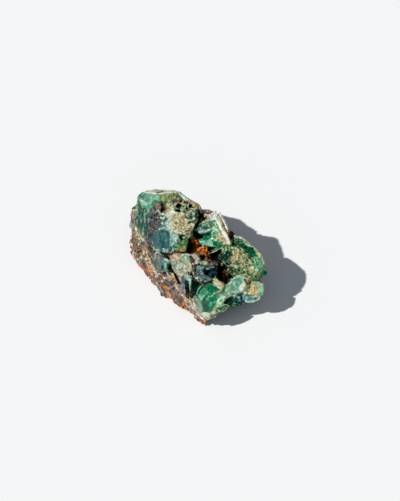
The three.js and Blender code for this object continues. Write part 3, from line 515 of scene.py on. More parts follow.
    spots("dark slate below", "crust", "#33343c", [(-18.7, 2.3, 0.9, 1.8), (-19.3, 4.6, 0.9, 0.7),
        (-19.3, 1.6, 0.5, 0.9)]),
    spots("pale chips on the slate", "frost", "#a3b0a6", [(-18.9, 3.9, 0.6, 0.5), (-17.9, 3.4, 0.7, 1),
        (-18, 5.2, 0.6, 0.7)]),
    area("broken teal and white", "crystal", "#578077", [(-15, 16.6), (-13.4, 16.2), (-11.6, 14), (-12.4, 11.4),
        (-13.6, 10.6), (-15.8, 10.2), (-15.9, 11.6), (-14.6, 12.2), (-14.6, 14), (-15.2, 15)], ("#1f4438", 0.45, 0.3),
        ("#b5d0c6", 0.45, 0.28)),
    spots("dark green in the break", "glass", "#24503f", [(-13.5, 14.1, 1, 0.9), (-12.6, 14.6, 1.2, 1),
        (-14, 15.9, 0.7, 0.6), (-13.8, 10.5, 0.9, 0.6)]),
    spots("white slips in the break", "frost", "#c6ded4", [(-13.8, 11.3, 0.5, 1.5, -30), (-15.4, 10.6, 0.5, 1.3, 35),
        (-14.2, 13.1, 0.8, 0.8), (-14.7, 15.3, 0.9, 0.5)]),
    area("cream crust", "sugar", "#d2cba8", [(-12.6, 21), (-11, 21.4), (-9.6, 20.4), (-8.8, 17.6), (-6, 17.3),
        (-4.3, 16.8), (-4.8, 14.6), (-3.2, 14.1), (-1.4, 13), (-1.7, 10.8), (-2.6, 8.8), (-4.6, 8.3), (-6.4, 8.4),
        (-8, 9.2), (-10.6, 9), (-12.2, 10), (-12.9, 11.6), (-12, 13.8), (-11.3, 14.6), (-11.8, 16), (-13.2, 16.6),
        (-12.6, 18)], ("#dfdcc6", 0.45, 0.24), ("#878a5c", 0.4, 0.18), ("#b09c72", 0.5, 0.14)),
    area("green grey crust", "sugar", "#86926e", [(-10.6, 21.4), (-4, 22), (0.8, 21), (1.2, 19.4), (0.6, 17.6),
        (-0.6, 15), (-1.2, 13), (-3, 13), (-5.6, 14.6), (-5, 17), (-9.4, 17.4), (-10.4, 19.4)],
        ("#d3d6b8", 0.4, 0.26), ("#1a3222", 0.4, 0.32), ("#4f5c40", 0.4, 0.1)),
    area("white crust", "sugar", "#b9c6b2", [(-12.9, 13.6), (-12, 14.4), (-10.4, 13.8), (-9.8, 11.4), (-11, 10.2),
        (-12.6, 10.6)], ("#8faa94", 0.4, 0.28), ("#e4ebe0", 0.35, 0.2), soft=0.5),
    area("pale crust above", "sugar", "#d2d6be", [(-12, 18.6), (-10, 19), (-9.6, 16.4), (-10, 14.4), (-11.6, 14.8),
        (-12.6, 16.2), (-11.8, 17)], ("#a3b08c", 0.4, 0.26), soft=0.5),
    area("tan crust", "sugar", "#b9aa82", [(-9.6, 15.4), (-7, 16), (-4.8, 14.4), (-4.6, 11.4), (-4.4, 9), (-6.6, 8.8),
        (-8, 10.4), (-9.6, 12)], ("#d9d0b0", 0.4, 0.26), ("#80805a", 0.4, 0.22), soft=0.7),
    spots("pale mint at the crust's foot", "frost", "#c9dcc4", [(-8.7, 9.2, 1.6, 1.2), (-7.2, 9, 1.2, 0.8),
        (-11.7, 9.8, 0.9, 1)]),
    area("brown lower right crust", "sugar", "#837a58", [(-4.8, 11), (-2.6, 11.6), (-2, 9.8), (-2.6, 8), (-3.4, 7.2),
        (-4.8, 8.2)], ("#c0bb90", 0.45, 0.3), ("#4a4630", 0.45, 0.3)),
    spots("olive in the cream", "sugar", "#8b8a54", [(-8.4, 13.5, 1.1, 0.8), (-9, 11.2, 0.9, 0.8),
        (-7.9, 16.6, 1.6, 0.8), (-2.7, 11.4, 0.8, 0.9), (-5.8, 12.4, 1, 0.5)], share=0.8),
    spots("green in the crust", "glass", "#15382a", [(-4.2, 15.1, 1.5, 0.9), (-2.7, 15.2, 0.9, 0.7),
        (-1.2, 14.1, 1.3, 1), (-3.1, 13.5, 2, 0.8, 15), (-2.3, 17, 0.8, 0.8), (-2.9, 15.9, 1.4, 0.6),
        (-1.9, 13.3, 1.1, 0.6), (-4.9, 16.8, 0.6, 0.5), (-3.6, 18.6, 0.7, 0.5)], ragged=0.5),
    area("dark green by the crack", "glass", "#142c26", [(-1.4, 17.2), (-0.9, 18.6), (0.4, 18.6), (0.8, 16.8),
        (0.4, 15.2), (-0.5, 14.2), (-1, 15.4)], ("#4f7460", 0.45, 0.24)),
    spots("pale between the greens", "sugar", "#bcccac", [(-1.8, 16.8, 0.5, 1.6, -8), (-4.3, 15.8, 0.9, 0.7),
        (-2.7, 14.3, 0.7, 0.6), (-1.5, 14.9, 0.5, 0.9, 30), (-3.9, 17.5, 0.8, 0.8), (-1.3, 18.3, 0.4, 0.9, -30),
        (-2.7, 18.2, 0.7, 0.5)]),
    spots("light green spots", "crystal", "#a5ba84", [(-5.7, 18.4, 1, 0.7), (-6.6, 18.7, 0.8, 0.5),
        (-0.5, 18.9, 0.8, 0.4), (-11.4, 21.9, 0.9, 0.6)]),
    area("tan by the crack", "sugar", "#b3a27a", [(-2.6, 21.6), (0.4, 21.2), (1.4, 20), (0.6, 19), (-1, 19.2),
        (-2.2, 19.9)], ("#6f6844", 0.45, 0.25), ("#cdc3a0", 0.45, 0.2)),
    spots("orange by the crack", "rust", "#b87840", [(0.4, 20.6, 1, 0.7)]),
    spots("brown by the crack", "rust", "#5a4426", [(-0.2, 19.7, 0.5, 1), (-1.5, 20.5, 0.8, 0.5)]),
    area("brown row under the bevel", "rust", "#625848", [(-10.4, 22.2), (-8.8, 23), (-7, 22.6), (-5.4, 22.3),
        (-3.9, 22.2), (-4.2, 21.2), (-6.4, 21.2), (-9.6, 21.2)], ("#2a211a", 0.45, 0.3), ("#a99c84", 0.4, 0.2)),
    # painted shade: pits along the row are painted near black
    spots("painted shade in the row", "hole", "#1c1712", [(-10, 22, 1, 0.6), (-8, 22.5, 0.8, 0.5), (-6.6, 22, 1, 0.6),
        (-5.1, 21.5, 0.5, 1.3), (-4.1, 21.4, 0.7, 0.9), (-4.5, 20.4, 0.6, 0.5), (-8.5, 24.1, 0.8, 0.5)], ragged=0.15),
    spots("cream in the row", "sugar", "#cdbc8e", [(-6, 21.4, 0.7, 0.9), (-5.5, 20.6, 1.1, 0.6),
        (-7.5, 21.6, 0.7, 0.6), (-8.1, 23.1, 0.6, 0.5)]),
    spots("rosy brown on the top edge", "rust", "#9a7258", [(-3, 21.7, 1.4, 0.5), (-2, 21.8, 0.9, 0.4)]),
    area("green under the bevel", "glass", "#35633c", [(-8.2, 24.9), (-7.2, 24.2), (-6.2, 23), (-5.9, 22.3),
        (-7.2, 22.6), (-8.1, 23.6)], ("#1f4a22", 0.5, 0.3)),
    area("pale bevel at the right", "frost", "#c3d8cb", [(-8, 25.8), (-7, 25.4), (-4.2, 23.4), (-3.7, 22.5),
        (-5, 22.2), (-6, 22.7), (-6.8, 23.8), (-7.6, 24.8)], ("#dff0e4", 0.6, 0.3, -45), soft=0.15),
    streak("grey edge of the bevel", "frost", "#879288", 0.35, [(-7.4, 25.4), (-6, 24.4), (-4.4, 23.2)]),
    # painted shade: the big pit is painted black
    area("painted shade in the big pit", "hole", "#060806", [(-8.7, 19.7), (-8.6, 20.3), (-7.6, 21), (-6.6, 20.8), (-6.2, 20.3),
        (-6.9, 19.7), (-7.6, 19.2)], ragged=0.15, soft=0.2),
    # painted shade: these pits are painted black
    spots("painted shade in the pits", "hole", "#090a08", [(-3, 20.1, 1.1, 1.5), (-4.2, 19, 1.1, 0.7), (-7.7, 18, 1.1, 1.1),
        (-8.4, 18.2, 0.7, 0.7)], ragged=0.15, soft=0.18),
    area("dark hole by the olive", "rust", "#35230f", [(-15.1, 21.2), (-14, 21.2), (-13.6, 20), (-13.3, 18.8),
        (-13.5, 17.5), (-14.6, 17.4), (-14.9, 19)], ("#150c06", 0.45, 0.35)),
    # painted shade: holes in the brown are painted black
    spots("painted shade in the brown", "hole", "#060504", [(-14.4, 20.8, 1, 0.9), (-14.1, 18.2, 1, 1)], ragged=0.15),
    area("teal face", "crystal", "#346466", [(-17.6, 7.6), (-17, 9.4), (-15, 10.4), (-13, 10.2), (-11.4, 9.9),
        (-11.3, 7), (-11.5, 3.2), (-12.6, 2.8), (-14.4, 2.6), (-16.8, 3), (-17.8, 5)], ("#255658", 0.9, 0.25, 88),
        ("#4c7c7a", 0.8, 0.22, 88), soft=0.25),
    area("grey teal left part", "crystal", "#507674", [(-17.5, 7.4), (-16.2, 8.6), (-15.6, 6), (-15.8, 3.6),
        (-17.4, 4.4)], ("#3f6c6c", 0.6, 0.3), soft=0.5),
    spots("lights in the teal face", "crystal", "#5a8784", [(-13.4, 8.6, 1.5, 1.4), (-14.9, 8.8, 0.9, 0.7),
        (-16, 3.6, 1.6, 0.5)], soft=0.4),
    spots("darks in the teal face", "glass", "#1d5254", [(-11.5, 5.2, 0.5, 1.9), (-14.9, 5.9, 1.2, 1.2),
        (-13.8, 3.4, 1.6, 0.6), (-14.2, 9.7, 1, 0.5), (-12.2, 8.9, 0.8, 0.9)], soft=0.35),
    area("aqua strip", "crystal", "#93bdae", [(-11.2, 9.6), (-9.8, 9.4), (-8.2, 9), (-8, 7.6), (-8.6, 6.2), (-9, 4.8),
        (-9.8, 4.2), (-11.2, 4.4), (-11.3, 7)], ("#6fa68f", 0.6, 0.25), ("#c4dacd", 0.5, 0.2)),
    spots("lavender grey of the strip", "frost", "#a3b4b2", [(-9.8, 7.7, 1.4, 1.6), (-8.9, 8, 0.7, 1.2)], soft=0.3),
    spots("greens of the strip", "crystal", "#5f9f80", [(-9.8, 9.3, 0.7, 1.1), (-8, 8.4, 0.6, 0.7),
        (-10.6, 5.8, 0.8, 1.4), (-9, 5, 1.1, 0.7)]),
    # painted highlights: small white glints on the strip
    spots("painted glints of the strip", "frost", "#d2e0cf", [(-8.8, 6.8, 0.6, 0.9), (-9.9, 5, 0.8, 0.5),
        (-8.3, 7.4, 0.4, 1.2)]),
    area("foot of the strip", "crystal", "#55a285", [(-10.4, 4.4), (-9, 4.9), (-8, 4.2), (-8.4, 3.2), (-9.2, 2.4),
        (-10.2, 2.8)], ("#23452f", 0.6, 0.25)),
    area("broken foot of the teal face", "sugar", "#86a99c", [(-17.4, 2.8), (-14.2, 2.9), (-12.6, 3), (-11.2, 3.4),
        (-10.2, 3.6), (-9.8, 2), (-10.6, 1), (-13.8, 0.8), (-17, 1.4)],
        ("#3a4c4a", 0.5, 0.24), ("#c9c9b6", 0.5, 0.2), ("#57727c", 0.5, 0.14)),
    spots("mint chips at the foot", "crystal", "#8fbfae", [(-13, 2.2, 0.8, 1.2, 15), (-13.6, 1.4, 0.9, 0.7),
        (-11.2, 1.4, 1.5, 0.6, 30), (-17, 2.6, 0.8, 0.8)]),
    spots("slate chips at the foot", "crust", "#4a5868", [(-11.7, 2.3, 0.7, 1), (-14.2, 2.2, 0.8, 0.6),
        (-10.9, 3.2, 0.7, 0.5)]),
    area("green right of the strip", "crystal", "#597b5a", [(-8, 8.8), (-6.4, 8.6), (-4.8, 8.2), (-3.4, 7.2),
        (-3.9, 5), (-4.5, 2.2), (-6.6, 2.3), (-8.4, 2.4), (-8.1, 5)], ("#33502a", 0.6, 0.24), ("#87a66c", 0.5, 0.2)),
    # painted shade: the dents in the green are painted near black
    area("painted shade in the dents of the green", "hole", "#0c1811", [(-7.3, 7.6), (-6.7, 8.2), (-6.1, 7.8), (-5.9, 7), (-6, 6),
        (-6.7, 6.2), (-7.1, 6.9)], ragged=0.15, soft=0.2),
    # painted shade: the small dent is painted near black
    spots("painted shade in the small dent", "hole", "#141a10", [(-5.6, 7.9, 0.8, 0.5)], ragged=0.1),
    spots("pale edge of the dents", "frost", "#93b3a4", [(-5.4, 7.3, 0.9, 0.6), (-5.5, 8.5, 0.7, 0.5)]),
    spots("grey green dents", "crystal", "#5c7066", [(-7.7, 5.8, 1, 1), (-7, 5.3, 0.9, 0.7), (-6.8, 4, 1.1, 0.6)]),
    spots("leaf bits", "crystal", "#6aa04e", [(-5.8, 5.8, 0.9, 1.1), (-7.1, 3, 0.5, 0.9)]),
    spots("dark olive", "crystal", "#43582a", [(-4.9, 5.6, 0.8, 1.1), (-4.7, 7.3, 0.9, 0.7), (-5.3, 4.8, 0.5, 0.6)]),
    streak("leaf edge", "crystal", "#74a46c", 0.6, [(-4.3, 6), (-4.6, 4), (-4.8, 2.6)]),
    spots("yellow green foot", "crystal", "#b9bd6c", [(-6.6, 2.8, 0.5, 1.3), (-5.6, 3.4, 1, 1.2),
        (-8.2, 2.7, 0.6, 0.9)]),
    streak("rust line under the block", "rust", "#7c5c3c", 0.7, [(-10.2, 1.6), (-8.4, 1.8), (-6.4, 1.9)],
        ("#a97a4c", 0.5, 0.3)),
    spots("orange on the line", "rust", "#b8560f", [(-5.5, 1.95, 1.3, 0.7)]),
    spots("peach on the line", "rust", "#d9a468", [(-6.8, 2, 0.9, 0.7)]),
]

wedge = [
    area("pale face of the wedge", "crystal", "#7ba276", [(4.6, 13.8), (6, 14.4), (7.2, 14.6), (8, 12.8), (9.4, 10.2),
        (10.2, 7), (11, 4.8), (9.6, 5.4), (6.5, 6.2), (4.6, 6.6), (5, 8.4), (5.6, 10.2), (5, 11.8)],
        ("#d2e2c0", 0.45, 0.24), ("#3f8452", 0.45, 0.3)),
    area("tan of the wedge", "sugar", "#ad9c74", [(8, 9.6), (9.6, 9.8), (10.2, 7.4), (10.8, 5.4), (9, 5.6), (8, 7)],
        ("#77704a", 0.5, 0.3), ("#d6cba6", 0.5, 0.25), soft=0.5),
    spots("dark greens of the pale face", "glass", "#2f7a50", [(8.3, 10.8, 0.8, 1), (6.4, 13.9, 0.8, 0.9),
        (6.7, 7.3, 0.8, 0.9), (6.3, 12.3, 1, 0.9)], share=0.85),
    spots("olive of the pale face", "crust", "#6b6c46", [(7.7, 9, 0.5, 0.9), (9.1, 9, 0.5, 1), (5.1, 13.1, 0.9, 0.5),
        (7.6, 13.6, 0.6, 0.6)]),
    spots("mint of the pale face", "crystal", "#c2e6d0", [(7.3, 10.4, 1.4, 0.9, -45), (5.7, 9, 0.6, 1),
        (5.4, 7.1, 1.5, 0.7), (6.2, 9.8, 0.9, 0.6)]),
    spots("cream of the pale face", "sugar", "#d6e0bc", [(6.4, 11.2, 1, 0.9), (8.3, 9, 0.5, 0.9),
        (7.2, 6.5, 0.9, 0.6)]),
    area("upper left facet", "crystal", "#47805c", [(-1, 11), (0.2, 12.2), (2, 13.1), (4.4, 14.1), (6.2, 14.5),
        (5.4, 12.6), (5.4, 10.8), (2.5, 10.6), (-0.8, 10.4)], ("#2c5038", 0.45, 0.3, 25), ("#86b098", 0.4, 0.16, 25)),
    area("left end of the facet", "crystal", "#3f7c5a", [(-1.1, 10.2), (-0.9, 11.2), (0.2, 12.4), (1.2, 12.9),
        (1.2, 10.4)], ("#7cae92", 0.4, 0.25, 25), soft=0.3, lift=1.2),
    spots("dark in the facet", "glass", "#28452f", [(2.8, 11.1, 1.8, 0.8, 8), (2.4, 12.9, 1.2, 0.5, 25),
        (0.5, 11.7, 0.8, 0.5), (4.9, 11.8, 0.4, 1)]),
    streak("mint line in the facet", "frost", "#8fb4a4", 0.45, [(1.2, 11.8), (2.6, 12.5), (4, 13.3)]),
    spots("pale bits in the facet", "frost", "#a9d4b8", [(4.3, 12.1, 0.5, 1.2), (0.8, 11.1, 1.1, 0.6)]),
    area("pale streak of the wedge", "frost", "#a9c4b8", [(-0.8, 10.5), (0.4, 10.3), (2, 10.1), (4, 10.7),
        (5.6, 10.8), (4.8, 10.2), (3.6, 9.7), (3, 9.1), (2.2, 9.2), (0.4, 9.6)], ("#6f9486", 0.4, 0.26, 10)),
    spots("white of the streak", "frost", "#e3e8e2", [(4.3, 10.4, 0.9, 0.5)]),
    spots("grey teal of the streak", "crystal", "#6a9285", [(1.5, 9.3, 1.5, 0.5)]),
    area("darkest green of the wedge", "glass", "#071713", [(-2.2, 10.2), (-0.8, 10.3), (0.2, 9.4), (1, 8.8),
        (2.6, 8.4), (2.4, 7), (1.2, 6.4), (-0.6, 6.8), (-1.9, 7.8)], ("#123c2c", 0.5, 0.14), soft=0.25),
    area("emerald of the wedge", "glass", "#0e6e4a", [(2.2, 8.2), (3.2, 9), (4.2, 10), (5.7, 10.6), (5.4, 8.6),
        (5.2, 7.2), (4.2, 6.4), (1.4, 6.2), (2, 7.2)], ("#042c20", 0.5, 0.26), ("#2ba878", 0.45, 0.16)),
    spots("aqua bits of the emerald", "crystal", "#5cbd98", [(1.5, 6.7, 0.7, 0.6), (3.2, 6.6, 0.5, 0.4),
        (5.3, 8, 0.6, 0.7)]),
    area("bright mint streak", "crystal", "#78c89a", [(0.1, 5.9), (3, 6.2), (5.2, 6), (6.2, 4.8), (5.6, 3.9),
        (4.2, 3.7), (1.8, 4.4), (0.3, 4.8)], ("#c4f6d6", 0.45, 0.3, -12), ("#55a87c", 0.45, 0.22, -12)),
    spots("white of the mint streak", "crystal", "#d2f6e0", [(2.8, 4.6, 1.7, 0.4, -14), (2.2, 5.2, 1, 0.3, -10),
        (4, 4.1, 1, 0.3)]),
    area("mid green of the wedge", "glass", "#1f7a52", [(5.3, 6.6), (7.6, 6), (9.9, 5.2), (10, 3.8), (8.2, 3),
        (7.2, 3), (6.1, 3.9), (6, 5)], ("#0f5238", 0.6, 0.3), ("#3aa070", 0.5, 0.18), soft=0.2),
    streak("light line of the mid green", "crystal", "#55ac82", 0.35, [(6.2, 4), (7.2, 3.5), (7.9, 3.1)]),
    spots("olive of the mid green", "crystal", "#5f7040", [(9.4, 5.2, 1, 0.9), (8.7, 4.9, 0.6, 0.5)]),
    area("frosted tip", "frost", "#b6beb4", [(4.2, 15.4), (4.8, 17), (6, 18.3), (7.8, 18.6), (8.2, 17), (7.2, 15.6),
        (7.6, 14.6), (6, 14.3), (4.6, 13.9)], ("#b5b8ac", 0.5, 0.22), ("#eef4ee", 0.45, 0.2), soft=0.2),
    spots("tan on the tip", "frost", "#bfb29c", [(7, 16.7, 0.7, 0.6), (5.9, 15.3, 0.9, 0.5)]),
    spots("white on the tip", "frost", "#eef5ee", [(6.3, 14.7, 1, 0.4), (4.8, 15.2, 0.5, 0.7)]),
    area("lower ridge", "frost", "#c4bea4", [(8.6, 12.8), (9.6, 11.8), (10.4, 10), (12.3, 6.8), (13.9, 4.2),
        (12.6, 4), (10.7, 5.2), (10, 7), (9.4, 9.4), (8.7, 10.6)], ("#8a7a58", 0.3, 0.28, -62),
        ("#fbfbf2", 0.35, 0.34, -62)),
    streak("white brink", "frost", "#f4fbf6", 0.62, [(7.1, 15.1), (7.8, 13.7), (8.5, 12.3), (9.1, 10.9), (9.3, 10.2)],
        soft=0.2),
    streak("cream brink", "frost", "#f2f2e4", 0.5, [(10.2, 9.6), (11.4, 7.6), (12.6, 5.8), (13.2, 4.7)],
        ("#b5ad90", 0.35, 0.25, -62), soft=0.25),
    area("outer band", "frost", "#f4f4ec", [(7.9, 18.8), (9.2, 17.8), (11.1, 14.4), (12.5, 11.6), (12.9, 9),
        (12, 8.6), (10.2, 11.4), (8.7, 14.2), (7.6, 16.8)], ("#b0a88e", 0.4, 0.22, -60), ("#92a488", 0.8, 0.12, -60),
        lift=0.7, soft=0.3),
    area("stripes between the bands", "frost", "#dad6c2", [(7.4, 16.6), (8.4, 16.4), (9.6, 14.2), (11, 11.6),
        (12.3, 8.6), (11.4, 8.4), (10.2, 10.6), (9, 12.8), (8, 14.8)], ("#9a9274", 0.3, 0.2, -60), soft=0.25,
        lift=0.3),
    streak("lit plate of the outer band", "frost", "#f6f6ee", 0.8, [(8, 18.2), (9.2, 16.4), (10.4, 14.2), (11.5, 12),
        (12.3, 9.8)], ("#a8a794", 0.4, 0.2, -60), soft=0.5, rise=1.1),
    streak("dark line beside the brink", "crust", "#6f6848", 0.26, [(7.7, 16), (9.1, 13.3), (10.6, 10.6), (12.1, 8)],
        share=0.8),
    streak("dark line inside the outer band", "crust", "#928b70", 0.22, [(8.6, 16.7), (10.2, 13.8), (12, 10.2)],
        share=0.7),
    streak("bright edge of the outer band", "frost", "#fbfbf4", 0.4, [(8.5, 17.2), (10, 14.6), (11.2, 12.4),
        (12.1, 10.6)]),
    area("tan left of the tip", "crust", "#a3987a", [(1.3, 13.6), (1.4, 14.6), (2.4, 15.6), (4.2, 15.6), (4.8, 14.8),
        (4.2, 14.2), (2.6, 13.5)], ("#6a5f46", 0.4, 0.3), ("#cfc4a6", 0.4, 0.15)),
    area("rusty bridge", "rust", "#6b4a34", [(1.2, 19.6), (2.4, 19), (3.6, 19.4), (5.4, 19.4), (6.6, 18.9), (6, 17.4),
        (4.4, 16.4), (3.6, 15.6), (2.6, 15.8), (2, 17)], ("#2e1a10", 0.45, 0.3), ("#a5907f", 0.4, 0.2)),
    spots("dark red of the bridge", "rust", "#54240f", [(1.9, 18.3, 0.9, 1.8), (4.3, 17.9, 0.8, 0.8),
        (6.2, 18.2, 0.7, 0.6), (3.2, 17, 1, 0.4), (3.4, 18.8, 1.6, 0.5)]),
    spots("pale chips on the bridge", "frost", "#cfc9c4", [(3.7, 17.9, 0.6, 0.7), (3.7, 16.3, 0.9, 0.7),
        (3, 16.4, 0.6, 0.8), (3, 18.4, 0.6, 0.5)]),
    spots("ochre on the bridge", "rust", "#8f6c36", [(4.9, 17.3, 0.8, 0.7), (5.4, 17.8, 0.6, 0.5)]),
    area("dark knob", "rust", "#2c1a10", [(11.9, 10.2), (13.4, 10.4), (14.6, 9.4), (15, 8.2), (14.4, 6.8),
        (13.2, 6.4), (12.6, 7), (12.2, 8.4)], ("#6c5236", 0.5, 0.25)),
    # painted shade: the knob's holes are painted near black
    spots("painted shade in the knob's holes", "hole", "#0d0604", [(12.7, 8.9, 0.7, 1), (13.3, 7.5, 1, 1)]),
    spots("rust on the knob", "rust", "#84562c", [(13.2, 9.9, 1.1, 0.5), (12.4, 9.9, 0.6, 0.6)]),
    spots("tan on the knob", "rust", "#857a60", [(14.5, 8.4, 0.6, 1)]),
]

hollow = [
    # painted shade: the crack is painted black where shade falls in it
    area("crack", "hole", "#060504", [(0.6, 19), (1.2, 17.6), (2.5, 17.2), (2.4, 15.4), (1.4, 13.6), (0.4, 12.6),
        (-0.6, 11.2), (-1.8, 9.8), (-1.5, 11.4), (-0.9, 12.8), (0.1, 14), (0.4, 16)], soft=0.2, ragged=0.2),
    # painted shade: the hollow is painted black where shade falls in it
    area("painted shade of the hollow", "hole", "#050404", [(-3.3, 7.2), (-2.2, 6.4), (-1.5, 5), (-1.4, 3.4), (0.4, 2.6),
        (3, 1.4), (4.8, 0.9), (6, 1.4), (8.4, 2.7), (9.9, 2.4), (9, 0.6), (8, -1.4), (9.2, -2.2), (11.2, -4),
        (12.1, -7), (11.8, -10.2), (10.4, -11.2), (9, -10.2), (7.3, -8.6), (7.5, -4.6), (5.6, -3.4), (3.2, -1.8),
        (1, -1.6), (-1.4, 0.6), (-3.4, 0.7), (-4.6, 0.8), (-3.9, 5)], soft=0.25),
    area("brown in the hollow", "rust", "#a0622c", [(-2.8, 8.2), (-1.8, 7.4), (-1.1, 6.6), (-0.1, 6.4), (0, 4.4),
        (0.8, 3.4), (4.2, 3), (4.8, 1.2), (4.4, 0), (3.2, 0.4), (1, 0.6), (-1.2, 0.9), (-2.8, 1.6), (-1.8, 3),
        (-1.9, 5), (-2.4, 6.8)], ("#200f08", 0.45, 0.24), ("#8c5a38", 0.45, 0.25)),
    area("bright rust above", "rust", "#ff8a18", [(-1.4, 6.6), (-0.3, 6.6), (-0.1, 4.8), (-0.3, 3.9), (-1, 4),
        (-1.3, 4.8)], ("#d85c0c", 0.4, 0.3), soft=0.25, rise=2.3),
    area("bright rust below", "rust", "#f0701a", [(-0.6, 3.9), (0.3, 3.6), (1.4, 3.7), (2.2, 3.5), (3.4, 3.3),
        (4.2, 2.6), (3.6, 1.9), (2.2, 2.5), (1.2, 2.7), (0.4, 2.5), (-0.5, 2.7)], ("#7c2c08", 0.35, 0.3),
        ("#ffa040", 0.4, 0.28), soft=0.3, lift=0.5),
    spots("brightest orange", "rust", "#ff8a22", [(3, 2.7, 1, 0.8, -30), (-0.8, 6, 0.6, 0.7), (1.1, 3.2, 0.8, 0.4)]),
    spots("red of the rust", "rust", "#cc3c08", [(0.1, 3.3, 0.9, 0.5), (-0.9, 4.3, 0.5, 0.8)]),
    spots("rosy bits", "rust", "#d29a80", [(0.2, 2.5, 0.8, 0.5), (1.9, 2.4, 0.5, 0.8), (1.8, 3.5, 0.7, 0.4),
        (4.3, 2.1, 0.5, 0.5), (4.2, 0.7, 0.9, 0.5)]),
    # painted shade: pits in the rust are painted near black
    spots("painted shade in the rust", "hole", "#160806", [(0.6, 4.1, 1.6, 0.6), (-0.3, 0.6, 1.5, 0.6), (0, 1.6, 1, 0.5),
        (-2.2, 1.7, 0.8, 0.5), (3.2, 3.6, 1.2, 0.3)]),
    spots("dull rust", "rust", "#98531f", [(0.6, 1.3, 1.4, 0.6), (2.8, 1.7, 1, 0.8), (-1.4, 1.2, 0.9, 0.5),
        (-1.5, 4.4, 0.6, 1.2)]),
    streak("rusty pillar", "rust", "#7a4a38", 0.9, [(3.6, 0.6), (3.6, -0.4), (3.8, -1.5)], ("#3c1f18", 0.4, 0.3)),
    # painted shade: the hollow below the rust is painted black
    area("painted shade below the rust", "hole", "#050404", [(0.8, 0.6), (2.6, 0.6), (3, -0.6), (3, -1.8), (2, -1.8),
        (0.9, -1.8)], soft=0.2),
    # painted shade: the hollow under the mid green is painted black
    area("painted shade under the mid green", "hole", "#06080a", [(3.6, 3.4), (5.6, 3.7), (7.4, 3), (9, 3.3), (8.4, 2.6),
        (7, 1.9), (5.4, 1.2), (4.6, 1.5), (4, 2.4)]),
    streak("rust low in the hollow", "rust", "#94481a", 0.8, [(10, -6.4), (10.3, -8), (10.4, -9.6), (10.2, -10.8)],
        ("#3c180c", 0.45, 0.35)),
    area("brown ridge in the hollow", "rust", "#4c3a33", [(3.4, -1.4), (4.8, -1.2), (8.2, -2.6), (8.2, -3.8),
        (5.6, -4), (4, -3.4)], ("#231614", 0.45, 0.3), ("#7f6c66", 0.4, 0.2)),
    spots("pale bit of the ridge", "frost", "#a09aa2", [(5.4, -3.4, 0.7, 0.6)]),
    area("beige by the ridge", "sugar", "#bcc298", [(0.7, -2), (3, -1.9), (3.9, -2.4), (3.4, -3.6), (1.6, -3.7),
        (0.6, -3.2)], ("#7a8050", 0.45, 0.25)),
    spots("red by the beige", "rust", "#93493c", [(4, -2.9, 0.9, 0.7), (4.3, -3.4, 0.8, 0.4)]),
    streak("blade edge", "frost", "#b5aa82", 0.45, [(4.2, 0.7), (5.6, 1.3), (7.2, 2)]),
    streak("mint blade edge", "frost", "#8cb49a", 0.5, [(7.2, 2), (8.4, 2.7), (9.9, 3.4)]),
    area("aqua bits in the hollow", "crystal", "#5f9a82", [(8.8, 0.4), (9, 1.6), (10, 2), (9.8, 0.6)],
        ("#2c5a46", 0.5, 0.3)),
    spots("aqua lower in the hollow", "crystal", "#4f8f7e", [(8.3, -1.4, 1, 0.9), (9, -0.9, 0.9, 0.7)]),
]

